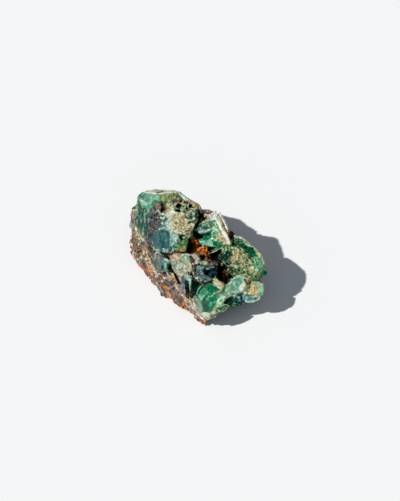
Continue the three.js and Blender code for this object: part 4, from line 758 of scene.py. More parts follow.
rightLobe = [
    area("lobe", "sugar", "#829468", [(9.6, 4.9), (12.6, 4.4), (13, 6), (14.2, 8), (17, 8.4), (20.8, 6), (24.4, 2.6),
        (26.6, -1), (27.2, -5), (26.4, -8.8), (22, -9.6), (17.6, -8), (13.4, -8.8), (12, -8.6), (11.4, -4), (9.2, -2),
        (7.8, -1.6), (8.8, 0.8), (9.6, 2.6)], ("#d3cfa4", 0.45, 0.28), ("#1c4426", 0.45, 0.3),
        ("#5f8c58", 0.5, 0.18)),
    area("dark green at the lobe's left", "crust", "#041d10", [(8.6, 0.2), (10.2, 1.4), (11.6, 2.1), (12.8, 1.9),
        (14.3, 1), (13.8, -0.2), (12.4, -0.9), (11, -2.2), (9.4, -1.8), (8.8, -0.6)], ("#2c6a4a", 0.4, 0.2),
        ragged=0.4),
    # painted shade: a lit surface painted black as the shadow of the hollow
    area("painted shade left of the lobe", "hole", "#070a09", [(5.4, 1), (7.8, 1.9), (9.1, 2), (9.5, 0.8), (9, -0.8),
        (9.3, -2.2), (7, -2), (5.4, -0.8)], ("#2c5a4a", 0.4, 0.14), soft=0.25),
    area("mixed green at the lobe's left", "sugar", "#2e412a", [(10.4, -1.8), (12.4, -1.2), (14, -2.6), (14, -5),
        (14.4, -6.6), (14, -8.6), (12, -9.2), (11.4, -6), (11.2, -4)], ("#b0ab86", 0.45, 0.22),
        ("#0a1a0c", 0.45, 0.34)),
    spots("pale bits at the lobe's left", "frost", "#8fb094", [(11.8, -1.2, 0.6, 0.5), (12.2, -3.8, 0.6, 0.5),
        (12.9, -0.4, 0.6, 0.4), (10.6, 1.2, 0.5, 1.1)]),
    area("pale green above", "crystal", "#4f6c42", [(10, 4.8), (13, 4.6), (15.4, 4), (15.4, 2.4), (14, 1.4),
        (11.8, 1.9), (10.4, 2)], ("#163c20", 0.4, 0.34), ("#b2cc98", 0.4, 0.18)),
    spots("emerald bits above", "glass", "#1c5a36", [(13.5, 2.4, 1.1, 0.7), (10.2, 3.4, 0.7, 0.5),
        (13.2, 1.6, 0.9, 0.3)]),
    spots("pale bits above", "frost", "#cbdcb4", [(13.7, 3.3, 0.9, 0.5), (14.9, 3, 0.6, 1.1), (10.2, 4.9, 0.8, 0.7)]),
    area("tan of the lobe", "sugar", "#a59a70", [(14, 2), (15.6, 3), (17.2, 3), (17.6, 1.6), (18.2, 0.2), (17, -1.2),
        (15, -1.6), (13.4, -2.6), (13, -1.4), (13.6, 0)], ("#5a6a38", 0.4, 0.24), ("#d6cca4", 0.45, 0.26), soft=0.5),
    spots("tan patches of the lobe", "sugar", "#c4b88c", [(14.6, -4.2, 1.5, 0.8), (17.6, -2.2, 1.4, 0.7),
        (20.5, -2.2, 1.3, 1), (18.8, -5.6, 1, 1.2, 30), (20.9, -6.3, 1.4, 0.7), (20.2, -8, 1.2, 0.8),
        (13.4, -3.6, 1.2, 0.9), (18.4, -3.1, 1, 0.6), (17.4, -3.8, 0.7, 1.2)], ("#8a8850", 0.4, 0.3), soft=0.25),
    spots("cream rings of the lobe", "sugar", "#ccca9c", [(21.1, -5, 1.8, 1.8), (19.4, 0, 0.9, 0.8),
        (22.4, -6.9, 0.9, 0.6), (23.8, -8.8, 1, 0.4)], ("#a2946c", 0.6, 0.3), soft=0.3),
    area("dark green on top", "glass", "#1f5a3a", [(13.4, 5.4), (14, 6.8), (15.6, 7.2), (17, 6.6), (17.8, 5.6),
        (16.8, 4.2), (15.6, 3.7), (14, 4)], ("#8fb88c", 0.45, 0.24), ("#0a3420", 0.45, 0.3)),
    area("big emerald", "glass", "#084e32", [(16.2, 4), (17.4, 5.3), (18.7, 5), (19.5, 4), (20.4, 3.6), (22, 3.5),
        (22.2, 2.4), (23.2, 1.2), (22.8, 0), (21.2, -0.7), (20.2, -1.2), (20, -0.2), (19.6, 1), (18.2, 1.8),
        (17.6, 3)], ("#032a1c", 0.6, 0.24), ("#14784e", 0.5, 0.2)),
    spots("black in the emerald", "hole", "#041610", [(19, 3.4, 1.1, 0.9)], share=0.8),
    spots("teal of the rim", "glass", "#1c7254", [(22.2, -2.2, 0.9, 1.9)]),
    spots("emerald in the beige", "glass", "#0c4428", [(15.3, -2.4, 1.3, 0.8), (15.9, -3.2, 1.3, 0.9),
        (14.8, -5.8, 1.6, 1.3), (15.2, -6.6, 1, 0.9), (16.2, -5.2, 0.7, 1.8), (17, -6.8, 0.9, 0.9),
        (19.8, -7, 1.1, 0.8), (13, -6.8, 0.9, 0.8), (18.2, -4.6, 0.9, 0.6), (19.1, -4, 0.9, 0.5),
        (12.3, -4.5, 0.8, 0.7), (11.8, -2.1, 0.8, 0.6), (19.4, -1.4, 1.1, 0.5, -40), (16.6, -3, 0.8, 0.4),
        (14.2, -0.8, 0.9, 0.4), (17.2, 0.9, 0.7, 0.4), (21.6, -4, 0.5, 0.9), (12.9, -5.4, 0.6, 0.9),
        (14, -4.9, 0.8, 0.5)], ("#06180f", 0.5, 0.25), ragged=0.5),
    spots("light green in the beige", "crystal", "#6f9a68", [(16.5, -6.4, 0.6, 0.8), (17.7, -5.6, 0.9, 0.9),
        (21.8, -7.6, 1.2, 0.6), (18.3, 1.2, 1, 0.5), (22, -9, 1.2, 0.6), (24, -8, 0.9, 1)]),
    spots("dark olive at the lobe's foot", "crust", "#3a421e", [(18.9, -8, 1.3, 0.6), (13.9, -7.9, 0.9, 0.5),
        (16.2, -7.4, 0.8, 0.5), (12.1, -8.8, 0.9, 0.9)]),
    area("glassy right rim", "crystal", "#74bc90", [(22.4, -0.8), (24.4, -0.4), (25.2, -1.8), (25.6, -3.8),
        (25.4, -5.6), (23.4, -6.4), (22.4, -4.8), (22.3, -3)], ("#b5e6c2", 0.45, 0.3), ("#3f8458", 0.45, 0.22)),
    spots("green right edge", "crystal", "#5c8a50", [(25.9, -4.4, 0.7, 2.2), (25.4, -2.5, 0.7, 0.7),
        (24.4, -1.2, 0.8, 1.2)], share=0.85),
    area("green inside the rim", "crystal", "#8fb48a", [(20.6, 4), (22.6, 3.4), (23.8, 1.6), (24, 0.4), (23.2, 1.2),
        (22.4, 2.4), (22, 3.4)], ("#cfdcc4", 0.5, 0.25)),
    streak("pale rim", "frost", "#bdc5b2", 1.1, [(14.6, 7.7), (16.8, 8), (19, 6.6), (21, 5.2), (22.6, 3.8)],
        ("#8d9a84", 0.5, 0.25), ("#d6ddd0", 0.4, 0.22)),
    streak("cream rim", "frost", "#cfcfae", 0.9, [(23.8, 1.2), (25.1, -0.2), (26, -1.8), (26.8, -3.6)],
        ("#e6ead0", 0.5, 0.3), ("#a9b58c", 0.4, 0.2)),
    # painted highlights: small white glints along the rim
    spots("painted glints of the rim", "frost", "#eefaf0", [(20.2, 4.1, 1, 0.6), (22.9, 3.1, 0.7, 0.5),
        (16.8, 7, 0.9, 0.5), (25.3, -6, 0.9, 0.6), (26.3, -2.5, 0.5, 0.9), (25.4, -1.2, 0.6, 0.9)], soft=0.18),
    area("nub", "glass", "#178060", [(25.2, -6.2), (26.4, -5.4), (28.6, -5.4), (28.4, -8), (25.4, -8.4)],
        ("#06382a", 0.5, 0.2)),
    # painted shade: the gap between the lobes is painted near black
    area("painted shade in the hole at the right", "hole", "#1c0c09", [(24.6, -8.8), (25.4, -8.7), (26.2, -9.8), (25.8, -11),
        (25, -10.6), (24.4, -9.6)]),
    area("olive foot of the lobe", "crystal", "#6a7f48", [(20.6, -8.6), (24.2, -8.6), (24.6, -10.8), (22.8, -10.9),
        (20.6, -10)], ("#34511f", 0.5, 0.3), ("#9fb07c", 0.45, 0.2)),
    streak("rust under the lobe", "rust", "#5a3c2a", 0.5, [(13, -8.5), (14.4, -7.8), (17.6, -7.9), (18.6, -8.6)],
        share=0.8),
    spots("deep green at the lobe's left", "glass", "#052818", [(12.5, 0.9, 1.6, 0.7), (10.5, 0.4, 0.9, 0.9),
        (11.5, -0.9, 0.9, 0.7), (13.6, 0.3, 0.7, 0.4)], ragged=0.5),
]

lowLobe = [
    area("ground of the low lobe", "crystal", "#95bca2", [(9.6, -12.6), (12.4, -9.4), (15.4, -7.7), (18, -8),
        (21, -9.6), (25, -10.6), (27, -13), (26, -16.4), (22, -19), (18.6, -18.8), (13, -16), (9, -16)],
        ("#6f9a84", 0.55, 0.25), ("#cfe2ca", 0.5, 0.24)),
    area("aqua dome", "crystal", "#6ba288", [(13.4, -9.4), (15, -8.2), (17.2, -8.4), (18.2, -10), (17.4, -12.4),
        (16.2, -13.4), (15.6, -14.2), (13.8, -13.9), (13, -12)], ("#55927c", 0.6, 0.26), ("#92bea2", 0.6, 0.24)),
    streak("pale rim of the dome", "frost", "#b5d4b6", 0.6, [(12, -10.6), (13.4, -9.2), (15, -8.1), (16.6, -7.9),
        (17.8, -8.6)]),
    spots("lights of the dome", "crystal", "#a3ccb4", [(14.3, -10.9, 1, 0.9), (16, -8.4, 1, 0.6),
        (17.7, -10.2, 0.8, 1.4), (12, -12, 1.1, 1), (13.6, -8.8, 0.8, 0.5)]),
    spots("grey of the dome", "crystal", "#627a6a", [(13, -11, 0.9, 0.9), (13.3, -12.6, 0.7, 0.8),
        (16.5, -8.9, 0.9, 0.5), (15.5, -9.4, 1.3, 0.6)], share=0.8),
    area("cream of the lobe", "frost", "#d0dfc0", [(16.4, -12.8), (17.6, -10.6), (18.8, -10.2), (19.4, -12.6),
        (19.9, -14.4), (18.8, -15.2), (17, -14.6)], ("#9abf98", 0.45, 0.28), ("#eef4dc", 0.4, 0.24), soft=0.5,
        lift=0.3),
    # painted highlights: white glints, raised a little towards the eye
    spots("painted glints of the lobe", "frost", "#ffffff", [(18.8, -11.5, 0.9, 1.1), (17.7, -13.2, 1, 0.7)], soft=0.3,
        ragged=0.3, rise=0.7),
    spots("white glints", "frost", "#ffffff", [(18.4, -13, 0.5, 0.4), (14.6, -14.6, 1.4, 0.6),
        (14.5, -15.7, 0.5, 0.4), (17, -12.9, 0.6, 0.5)], soft=0.15),
    area("ochre stain", "sugar", "#c2b67f", [(19.4, -11.4), (20.8, -11), (22.8, -11.2), (23.8, -11.8), (23.9, -14.4),
        (22.9, -16), (21.6, -15.4), (20.4, -15), (19.6, -13.4)], ("#dccfa2", 0.45, 0.28), ("#8f8448", 0.45, 0.2)),
    area("olive of the stain", "crust", "#3f3a0c", [(19.7, -9), (20.8, -9.2), (21, -10.8), (20.4, -11.6),
        (19.8, -11.2), (19.8, -10)], ("#7f6a24", 0.5, 0.3)),
    streak("orange of the stain", "rust", "#a9854c", 0.55, [(19.1, -8.9), (19.4, -10), (19.6, -11.8), (20, -12.6)]),
    spots("peach of the stain", "sugar", "#d0b98c", [(20, -13.8, 0.9, 1.6), (23.4, -13.6, 0.7, 1.2),
        (22.9, -15, 1, 1), (23.6, -11.6, 0.8, 0.6)]),
    area("right rim of the lobe", "crystal", "#b3d2b4", [(23.8, -11.2), (25.6, -10.9), (26.6, -12.8), (26.4, -15),
        (24.8, -16.2), (23.8, -14.6)], ("#8fc8a0", 0.5, 0.3)),
    spots("green in the rim", "crystal", "#4f8a62", [(24.7, -14.9, 1.2, 0.9), (25.8, -13.9, 0.5, 1.2),
        (24.2, -15.5, 0.8, 0.5), (24.4, -12, 0.7, 0.6)]),
    area("blue teal band", "glass", "#7a9e98", [(17.8, -15), (20, -15.2), (22.4, -16), (24.4, -16.4), (24, -17.2),
        (21.4, -17.8), (18.8, -17.6)], ("#a9c4b8", 0.45, 0.25), ("#47807a", 0.45, 0.28)),
    spots("deep teal of the band", "glass", "#2c6f80", [(19.4, -15.6, 1.5, 0.7), (22.7, -16.8, 1, 0.5),
        (20, -16.7, 0.6, 0.5)]),
    spots("mint of the band", "crystal", "#9acaba", [(18.3, -15.3, 1, 0.9), (19.4, -16.4, 0.8, 0.5)]),
    spots("cream of the band", "frost", "#e0e4cd", [(22.7, -16.1, 1.4, 0.35), (23.4, -15.7, 0.6, 0.4)]),
    streak("mint lower rim", "frost", "#a9ccb4", 0.7, [(18.9, -18), (20.4, -18.4), (22, -18.2), (23.6, -17.4),
        (24.8, -16.4)]),
    area("mint slope", "crystal", "#84aa8a", [(9.6, -13.8), (11.2, -10.8), (12.4, -11.4), (13.4, -13.8),
        (14.2, -14.9), (12, -16.2), (10, -16.8), (8.8, -15.8)], ("#b0cfae", 0.55, 0.26), ("#6f9478", 0.55, 0.24)),
    area("dark crystal", "glass", "#02301f", [(10, -18.6), (11, -17.4), (12.4, -16.3), (14, -15.9), (14.6, -17.6),
        (14.2, -19), (16.4, -19.4), (18.4, -18.2), (18.8, -19), (16.4, -20.4), (12.6, -20.4), (11, -19.4)],
        ("#145c42", 0.5, 0.18)),
    spots("grey green in the dark", "crystal", "#547f5f", [(12, -18.5, 0.9, 0.5), (14, -19.6, 1.2, 0.5),
        (13, -20.2, 0.8, 0.4)]),
    spots("olive in the dark", "crystal", "#504c26", [(14.4, -17.2, 0.6, 1.2)]),
    area("blue green crystal", "glass", "#1a464a", [(14.9, -15.2), (16.2, -14.5), (17.4, -15), (18.4, -16.6),
        (18.8, -18.2), (17.8, -19.2), (15.8, -19.5), (14.4, -19), (14.5, -17)], ("#0a2a30", 0.5, 0.3),
        ("#84b5aa", 0.4, 0.18)),
    spots("black in the blue green", "hole", "#04120e", [(17.4, -16.7, 0.7, 1.3), (15.2, -18.3, 0.6, 0.8)],
        share=0.9),
    spots("pale in the blue green", "frost", "#94bcae", [(16.2, -16.4, 0.9, 0.7), (17.9, -16.2, 0.4, 0.9, 20),
        (15.4, -20.2, 1.4, 0.4)]),
    streak("pale brink", "frost", "#b5c9a4", 0.4, [(10.2, -17.2), (11.4, -16.4), (13, -15.7)]),
]

emerald = [
    area("emerald crystal", "glass", "#1f8a5e", [(-0.6, -17), (-1, -15), (0, -12.6), (1.8, -11), (3.6, -10.3),
        (5.6, -11), (8.8, -12.8), (10, -13), (8.8, -15.2), (7.4, -18), (6.4, -20.4), (4.8, -22.2), (2.6, -22.4),
        (1.2, -19.6)], ("#0f5a40", 0.6, 0.26, 45), ("#4cb888", 0.5, 0.2, 45)),
    area("top of the crystal", "glass", "#087c52", [(2.8, -10.9), (4.6, -11), (6.6, -12), (8.6, -13.2), (7, -14.3),
        (5, -15.3), (4, -14), (2.8, -12.6)], ("#044c34", 0.6, 0.3), ("#1f9a68", 0.5, 0.22), soft=0.4),
    streak("dark band inside the rim", "glass", "#06281a", 1, [(-0.3, -15.6), (0.2, -14), (1, -12.9), (2, -11.9),
        (3, -11)]),
    # painted highlight along the crystal's rim
    streak("painted highlight line of the rim", "crystal", "#6fae88", 0.45, [(-0.6, -15.2), (-0.1, -13.4), (0.9, -12)]),
    area("bright left", "glass", "#38c48c", [(0.7, -14.2), (1.4, -13.4), (2.2, -13.2), (2, -14), (1.2, -14.6)],
        soft=0.3),
    area("left of the crystal", "crystal", "#55a07c", [(0, -15), (1.6, -15), (2.4, -16), (1.6, -17), (1.6, -19.2),
        (0.4, -17.4)], ("#8fb8a0", 0.6, 0.3), soft=0.4),
    spots("brown cloud", "crust", "#66745a", [(3, -14.6, 1.1, 1.2)], soft=0.35, share=0.8),
    spots("bright middle", "glass", "#0f9c64", [(6.1, -16.6, 1.6, 1), (5.2, -14.9, 1.2, 0.6), (7, -17.2, 0.8, 1)],
        soft=0.3),
    streak("white line in the crystal", "frost", "#a9bcae", 0.35, [(1.3, -17.2), (1.7, -16.4), (2.5, -15.5)]),
    streak("dark line below it", "glass", "#1c4632", 0.6, [(2.1, -17.3), (2.8, -16.5), (3.4, -15.6)]),
    spots("light green low in the crystal", "crystal", "#7cc4a4", [(5.1, -18.6, 1.3, 0.8), (6.5, -18.3, 0.7, 0.9),
        (5, -19.4, 0.9, 0.5), (3.5, -17, 1.2, 0.6, 30)], soft=0.3),
    area("dark low in the crystal", "glass", "#2c604a", [(2.2, -18.6), (3.6, -17.4), (4.4, -18), (4.2, -19.6),
        (5, -20.4), (4.6, -22), (2.5, -22.2), (2, -20.4)], ("#3f7a62", 0.6, 0.25), soft=0.4),
    streak("vein", "crust", "#ac9c64", 0.45, [(4.2, -16), (5.4, -15.6), (6.2, -15.1), (7.4, -14.6), (8.6, -13.8),
        (9.5, -13.1)], ("#d8e0bc", 0.5, 0.35)),
    spots("white on the vein", "frost", "#dcecd4", [(6.2, -15, 0.8, 0.6)]),
    area("green right of the vein", "crystal", "#5a9a70", [(7, -15.2), (8.6, -14.2), (9.6, -14), (9.2, -15.4),
        (8.2, -16.6), (7.4, -17)], ("#6f7458", 0.5, 0.3)),
    area("dark strip at the right", "crystal", "#3c6844", [(9.8, -11.4), (10.9, -11.4), (10.8, -13.4), (10.2, -15),
        (9.7, -14)], ("#1f4428", 0.5, 0.3)),
    area("frosted rim", "frost", "#a1a898", [(-1.8, -15.8), (-0.8, -16.6), (0.9, -19.4), (2, -22.2), (4.9, -22.5),
        (6.6, -20.8), (7.4, -22.4), (6.8, -24.4), (5, -25.6), (2, -26.2), (-0.4, -23.4), (-2, -19.6)],
        ("#848c7a", 0.45, 0.24, -50), ("#dcdfd0", 0.4, 0.24, -50)),
    area("green of the frosted rim", "crystal", "#8fae92", [(-0.6, -16.6), (0.4, -17), (1.6, -19.6), (2, -21.4),
        (0.8, -20.4), (-0.2, -18.4)], soft=0.35),
    area("shade of the rim", "frost", "#8a9a84", [(-1.7, -17.2), (-0.4, -17.4), (0.8, -19.8), (1.3, -21.6),
        (0.4, -21.8), (-1.1, -19.8)], ("#b9c2ae", 0.4, 0.2, -60), ("#66745f", 0.4, 0.24, -60), soft=0.25),
    spots("olive edge", "crust", "#66704c", [(-1.4, -16.9, 0.9, 1.5), (-1.5, -18.2, 0.7, 1)]),
    area("white of the frosted rim", "frost", "#d2d3c5", [(1.6, -22.4), (4.4, -22.4), (4.6, -24.2), (2.6, -24.4),
        (1, -22.8)], ("#b9bfb0", 0.5, 0.25), soft=0.35),
    area("tan foot of the rim", "frost", "#c2b49a", [(0.6, -24), (2.4, -24.6), (4.4, -24.4), (4, -26), (2, -26.2),
        (0.4, -25)], ("#8d836e", 0.5, 0.3, -40)),
    area("olive grey corner", "crust", "#6f725c", [(4.8, -23.6), (6.6, -22.6), (7.2, -23.6), (6.2, -24.6),
        (4.8, -24.8)], ("#54564a", 0.5, 0.3)),
    area("cream edge of the strip", "frost", "#babf99", [(5, -22.8), (5.8, -22.2), (6.3, -20.8), (7, -20), (6.9, -21),
        (6.4, -22.6), (5.6, -23.4)], ("#a9b07c", 0.4, 0.25)),
    area("pale strip", "frost", "#9ed5ac", [(9.2, -15.8), (10.8, -16), (10.4, -17.6), (9.6, -19), (8, -20),
        (6.8, -20.4), (7.2, -18.8), (8, -17)], ("#64a47c", 0.45, 0.26), ("#d6f5dc", 0.4, 0.22)),
    spots("brightest of the strip", "frost", "#dffde2", [(8.2, -17.5, 0.7, 1.4, -20), (10.4, -16.9, 0.8, 0.7),
        (9.2, -18.6, 0.9, 0.5), (7.6, -19.8, 0.8, 0.4)], soft=0.18),
    streak("olive line by the strip", "crust", "#8b9050", 0.4, [(7.4, -18.2), (7, -20.4), (6.9, -21.6)], share=0.85),
    area("green facet", "crystal", "#639370", [(9.4, -19), (12.4, -19.6), (12, -21.2), (9.8, -22.8), (7.2, -24.2),
        (6.8, -22.4), (7.6, -20.6)], ("#2f5c3e", 0.5, 0.26, 30), ("#8fb896", 0.45, 0.2, 30)),
    area("dark part of the facet", "crystal", "#497a58", [(8.2, -20.4), (10.2, -19.8), (11.7, -20), (10.8, -21.4),
        (8.8, -21.6)], ("#23472f", 0.4, 0.25, 30), ("#7aa284", 0.4, 0.2, 30)),
    area("grey corner of the facet", "crystal", "#606f66", [(6.9, -22.4), (8.6, -21.9), (10.3, -22), (9.4, -23.1),
        (7.4, -24)], ("#39443d", 0.4, 0.3, 30), ("#8fa093", 0.4, 0.2, 30)),
    streak("pale upper edge of the facet", "frost", "#b5c2a2", 0.35, [(7, -21), (8.2, -20.1), (9.8, -19.4),
        (12, -19.3)]),
    spots("dark green of the facet", "glass", "#1f5a32", [(8, -20.7, 1.3, 0.6, 40), (11.2, -20, 1, 0.6),
        (7.4, -21.9, 0.7, 0.8)]),
    spots("dark grey of the facet", "crust", "#49534e", [(8, -22.9, 1.6, 0.9), (9.6, -22.4, 0.8, 0.5)]),
    spots("yellow tip of the facet", "frost", "#a9b478", [(11.4, -19.3, 0.9, 0.4)]),
    streak("pale rim of the facet", "frost", "#a9c6ac", 0.4, [(12.2, -19.7), (11.6, -20.8), (10.4, -22)]),
    streak("pale lower rim", "frost", "#93b792", 0.6, [(6.8, -24.6), (8.2, -24.1), (9.6, -23.1)]),
    streak("grey lower rim", "frost", "#94958a", 0.6, [(3.6, -25.9), (5.4, -25.3), (6.8, -24.6)]),
    area("cream wedge", "sugar", "#c9c69e", [(6.4, -9), (7.6, -9), (9.9, -10.9), (10.3, -12), (9.6, -13.2),
        (8.6, -13), (7, -12.4), (6.3, -11.2), (5.6, -10)], ("#e2e2d0", 0.5, 0.24), ("#a3a274", 0.45, 0.2)),
    spots("peach of the cream wedge", "sugar", "#dcc49c", [(7.2, -9.4, 0.9, 0.6), (9.3, -11.8, 0.7, 1)]),
    spots("white of the cream wedge", "sugar", "#e6e8dc", [(7.2, -11.4, 1, 0.9), (8, -12.2, 0.9, 0.7)]),
    # painted highlights: small glints over the crystal
    spots("painted glints over the crystal", "frost", "#e0dccb", [(3, -10.2, 1, 0.6), (1.7, -11.2, 1.1, 0.8),
        (1, -10.5, 0.7, 0.6)], soft=0.15, ragged=0.3),
]

middle = [
    area("ground of the middle", "crust", "#7d8478", [(-12, -0.3), (-9.6, 1.3), (-3.4, 1.2), (0.8, 0.2), (1.6, -3),
        (7.9, -5), (7.6, -8), (4.4, -11), (0, -11), (-6, -8), (-10, -6), (-11.4, -3)], ("#c2bfa2", 0.5, 0.24),
        ("#3a3f38", 0.5, 0.24)),
    area("slate crystal", "crystal", "#486264", [(-1.7, -4.6), (0.4, -3.5), (3.6, -3.4), (6.4, -3.8), (7.9, -5),
        (7.6, -7.4), (6, -9.3), (3, -9.8), (0, -8.9), (-1.8, -6.8)], ("#12282c", 0.45, 0.3), ("#809ea0", 0.4, 0.2)),
    spots("light slate", "crystal", "#8aa39c", [(1.4, -4.8, 1.5, 1), (2.2, -4.3, 1.2, 0.5), (1.6, -6.9, 1, 1),
        (0.4, -4.1, 0.9, 0.7), (-0.2, -5, 0.6, 0.6)]),
    spots("dark green of the slate", "glass", "#143a34", [(-0.9, -4.7, 1.1, 1.1), (-1.1, -6.8, 0.9, 0.9),
        (-0.9, -7.7, 1.4, 0.6), (0.1, -6.7, 0.8, 0.8), (2.6, -9, 1, 0.9), (0.4, -5.6, 0.6, 0.6)]),
    area("black of the crystal", "glass", "#040a0d", [(1.9, -5.4), (3, -4.8), (4, -5.9), (5, -4.6), (6.9, -4.4),
        (7.6, -5.6), (7.2, -7.8), (6.2, -8.9), (4.6, -8.2), (3, -7.8), (2.3, -6.6)], ("#10343a", 0.5, 0.3)),
    spots("deep black of the crystal", "hole", "#020304", [(3.4, -6.9, 1.3, 1), (4.5, -6, 1.1, 0.7),
        (6.2, -5.3, 1, 0.6), (5.9, -8.3, 0.8, 0.7)], ragged=0.15),
    spots("grey green chip", "crystal", "#7f9184", [(3.7, -5.2, 0.9, 1, 30), (4.3, -5, 0.6, 0.7)]),
    spots("teal in the black", "glass", "#1f4c52", [(5.2, -4.9, 0.9, 0.5), (5.9, -6.4, 0.9, 0.6), (5, -7.4, 0.9, 0.6),
        (7.1, -6, 0.4, 1.6), (5.1, -8.6, 0.7, 0.7)]),
    spots("light teal below", "crystal", "#74938f", [(3.4, -9, 0.7, 0.5), (4.8, -9.7, 0.6, 0.5),
        (0.9, -9, 0.8, 0.7)]),
    spots("pale green on the rim", "frost", "#9db49a", [(6, -4.3, 0.9, 0.4), (7, -8.3, 0.5, 1, 20),
        (0.3, -3.7, 0.7, 0.5)]),
    # painted shade: creases along the crystal's edges are painted near black
    spots("painted shade along the crystal", "hole", "#0c1414", [(3.6, -4.1, 1.8, 0.4), (3.8, -9.6, 1, 0.45),
        (2.2, -10.2, 0.6, 0.4)], ragged=0.15),
    spots("rosy spot below", "sugar", "#dcb0a2", [(-0.6, -9.3, 0.9, 1), (-1, -8.7, 0.7, 0.4)]),
    spots("white spot below", "frost", "#dfeae6", [(-0.2, -8.9, 0.7, 0.7), (-1.6, -8.6, 0.9, 0.6)]),
    spots("brown spot below", "rust", "#a5744c", [(-0.4, -8.2, 1.2, 0.4)]),
    area("pale crust", "sugar", "#aeb198", [(-11, -0.3), (-9.6, 1.1), (-6.2, 1.5), (-3.4, 1), (-1.4, 0.4), (0.6, -1),
        (1, -3), (-1.4, -4), (-2, -6.4), (-2.6, -8.6), (-6, -7.8), (-8.2, -6.6), (-9.8, -5.6), (-10.4, -4.4),
        (-10.4, -2)],
        ("#d6d4be", 0.5, 0.22), ("#6f7a66", 0.5, 0.28), ("#8fa892", 0.5, 0.14)),
    area("tan crust left", "sugar", "#a8a088", [(-10.4, 0.9), (-8.4, 1.4), (-6.6, 1.4), (-6.2, 0.2), (-7.4, -1.4),
        (-9.2, -1), (-10.4, -0.4)], ("#dcc8a4", 0.45, 0.3), ("#7c6858", 0.45, 0.25)),
    spots("peach bits", "sugar", "#cdb898", [(-8.8, -0.6, 0.9, 0.5), (-10, 0.6, 0.8, 0.7), (-7.6, -1, 1, 0.6),
        (-9.2, 0, 0.8, 0.4)]),
    spots("olive bits", "crust", "#77724f", [(-8.4, -1.9, 0.8, 0.9), (-4.6, -5.2, 0.8, 0.8), (-4.7, -6.6, 0.6, 0.8)]),
    spots("mint bits in the crust", "frost", "#bcd4ba", [(-6.7, -4.4, 0.9, 0.9), (-7, -3.4, 0.9, 0.5, -40),
        (-8, -4.2, 0.8, 0.5), (-6.3, -1.4, 0.6, 0.7), (-8.8, -6.2, 0.9, 0.7), (-3.2, -6, 0.6, 0.6),
        (-1, -4, 0.7, 0.6)]),
    spots("grey green in the crust", "crust", "#646f68", [(-9.1, -3.8, 1, 1.2), (-7.4, -5.4, 1.4, 0.8),
        (-9.6, -4.6, 1, 0.8), (-7.2, -2.5, 1, 0.6)], share=0.85),
    spots("slate in the crust", "crust", "#8a97a2", [(-7.6, -6.6, 0.8, 0.7)]),
    spots("green in the crust", "crystal", "#86a87e", [(-5.6, -6.2, 1, 1), (-2.2, -7.8, 0.8, 1.2), (-8, -3, 1, 0.5)],
        share=0.85),
    area("khaki crust", "sugar", "#b3b082", [(-5.8, -3), (-4, -3.2), (-3.4, -4.4), (-4.4, -5), (-5.8, -4.8)],
        ("#cfcba6", 0.45, 0.3), share=0.85),
    area("round crystal", "crystal", "#a5b598", [(-6.2, -0.4), (-5.4, 0.8), (-4.2, 0.8), (-3.3, -0.2), (-3.1, -1.6),
        (-3.8, -2.8), (-5.2, -2.9), (-6.1, -1.8)], ("#868c7e", 0.5, 0.3)),
    streak("pale rim of the round crystal", "frost", "#c3d3b4", 0.55, [(-6, 0.6), (-4.8, 1), (-3.6, 0.2),
        (-3.1, -1.2), (-3.6, -2.4)]),
    spots("green core", "crystal", "#6f9a7a", [(-4.1, -0.9, 0.9, 1.2), (-5.8, -2.5, 0.7, 0.8)]),
    spots("white core", "frost", "#dfead9", [(-4, -2.4, 0.9, 0.7), (-4.8, -1.4, 0.5, 1, 40)]),
    area("grey dome", "crust", "#b0a798", [(-3, 0.2), (-1.2, 0.7), (0.4, 0.2), (1, -1.2), (0.9, -2.8), (-1.2, -3.2),
        (-2.6, -2.6)], ("#6c6654", 0.5, 0.3, 75), ("#bfb8a2", 0.45, 0.22, 75)),
    streak("white edge of the dome", "frost", "#d3d2c4", 0.45, [(0, 0), (0.4, -1), (0.7, -2.2), (0.2, -2.9)]),
    spots("dark beside the dome", "crust", "#504c3c", [(-2.6, -0.4, 0.7, 0.9), (-3, -3, 0.5, 0.8),
        (-2.8, 0.8, 1.6, 0.7), (-3.9, 1, 1.2, 0.5)]),
    area("grown over the gap", "crust", "#a5a394", [(-3.2, -3.2), (-1.6, -3), (-1.2, -4), (-1.6, -6), (-1.7, -8.6),
        (-2.6, -8.8), (-2.7, -6.4)], ("#d9c8a8", 0.4, 0.3), ("#5f5f4e", 0.4, 0.25), lift=0.6, rise=0.6),
    spots("brown gap", "rust", "#6d4a34", [(-2.6, -6, 0.3, 0.9)]),
    spots("salmon chips over the gap", "sugar", "#d8b59c", [(-2, -6.6, 0.7, 0.8), (-1.9, -8.1, 0.7, 0.6),
        (-2.4, -3.6, 0.8, 0.6)]),
    spots("peach by the slate", "sugar", "#dcb08c", [(-3.2, -5.2, 0.8, 0.9), (-1.9, -4.3, 0.8, 1.1),
        (-3.9, -5.2, 0.5, 0.9)]),
    # painted shade: the round pits are painted dark
    spots("painted shade in the round pits", "hole", "#262a20", [(-3, -7.4, 0.9, 0.5), (-3.6, -6.8, 0.4, 0.8)], ragged=0.15),
    spots("white in the pits", "frost", "#cfc9c6", [(-2.9, -7, 1, 0.35)]),
    area("cream slab", "crust", "#c3b9a0", [(-9.4, -6.2), (-8, -6.4), (-6.8, -7.2), (-6.2, -7.8), (-6.6, -10.2),
        (-7.2, -10.8), (-8, -9), (-8.6, -7.6)], ("#dccabc", 0.5, 0.3), ("#93897a", 0.45, 0.22)),
]

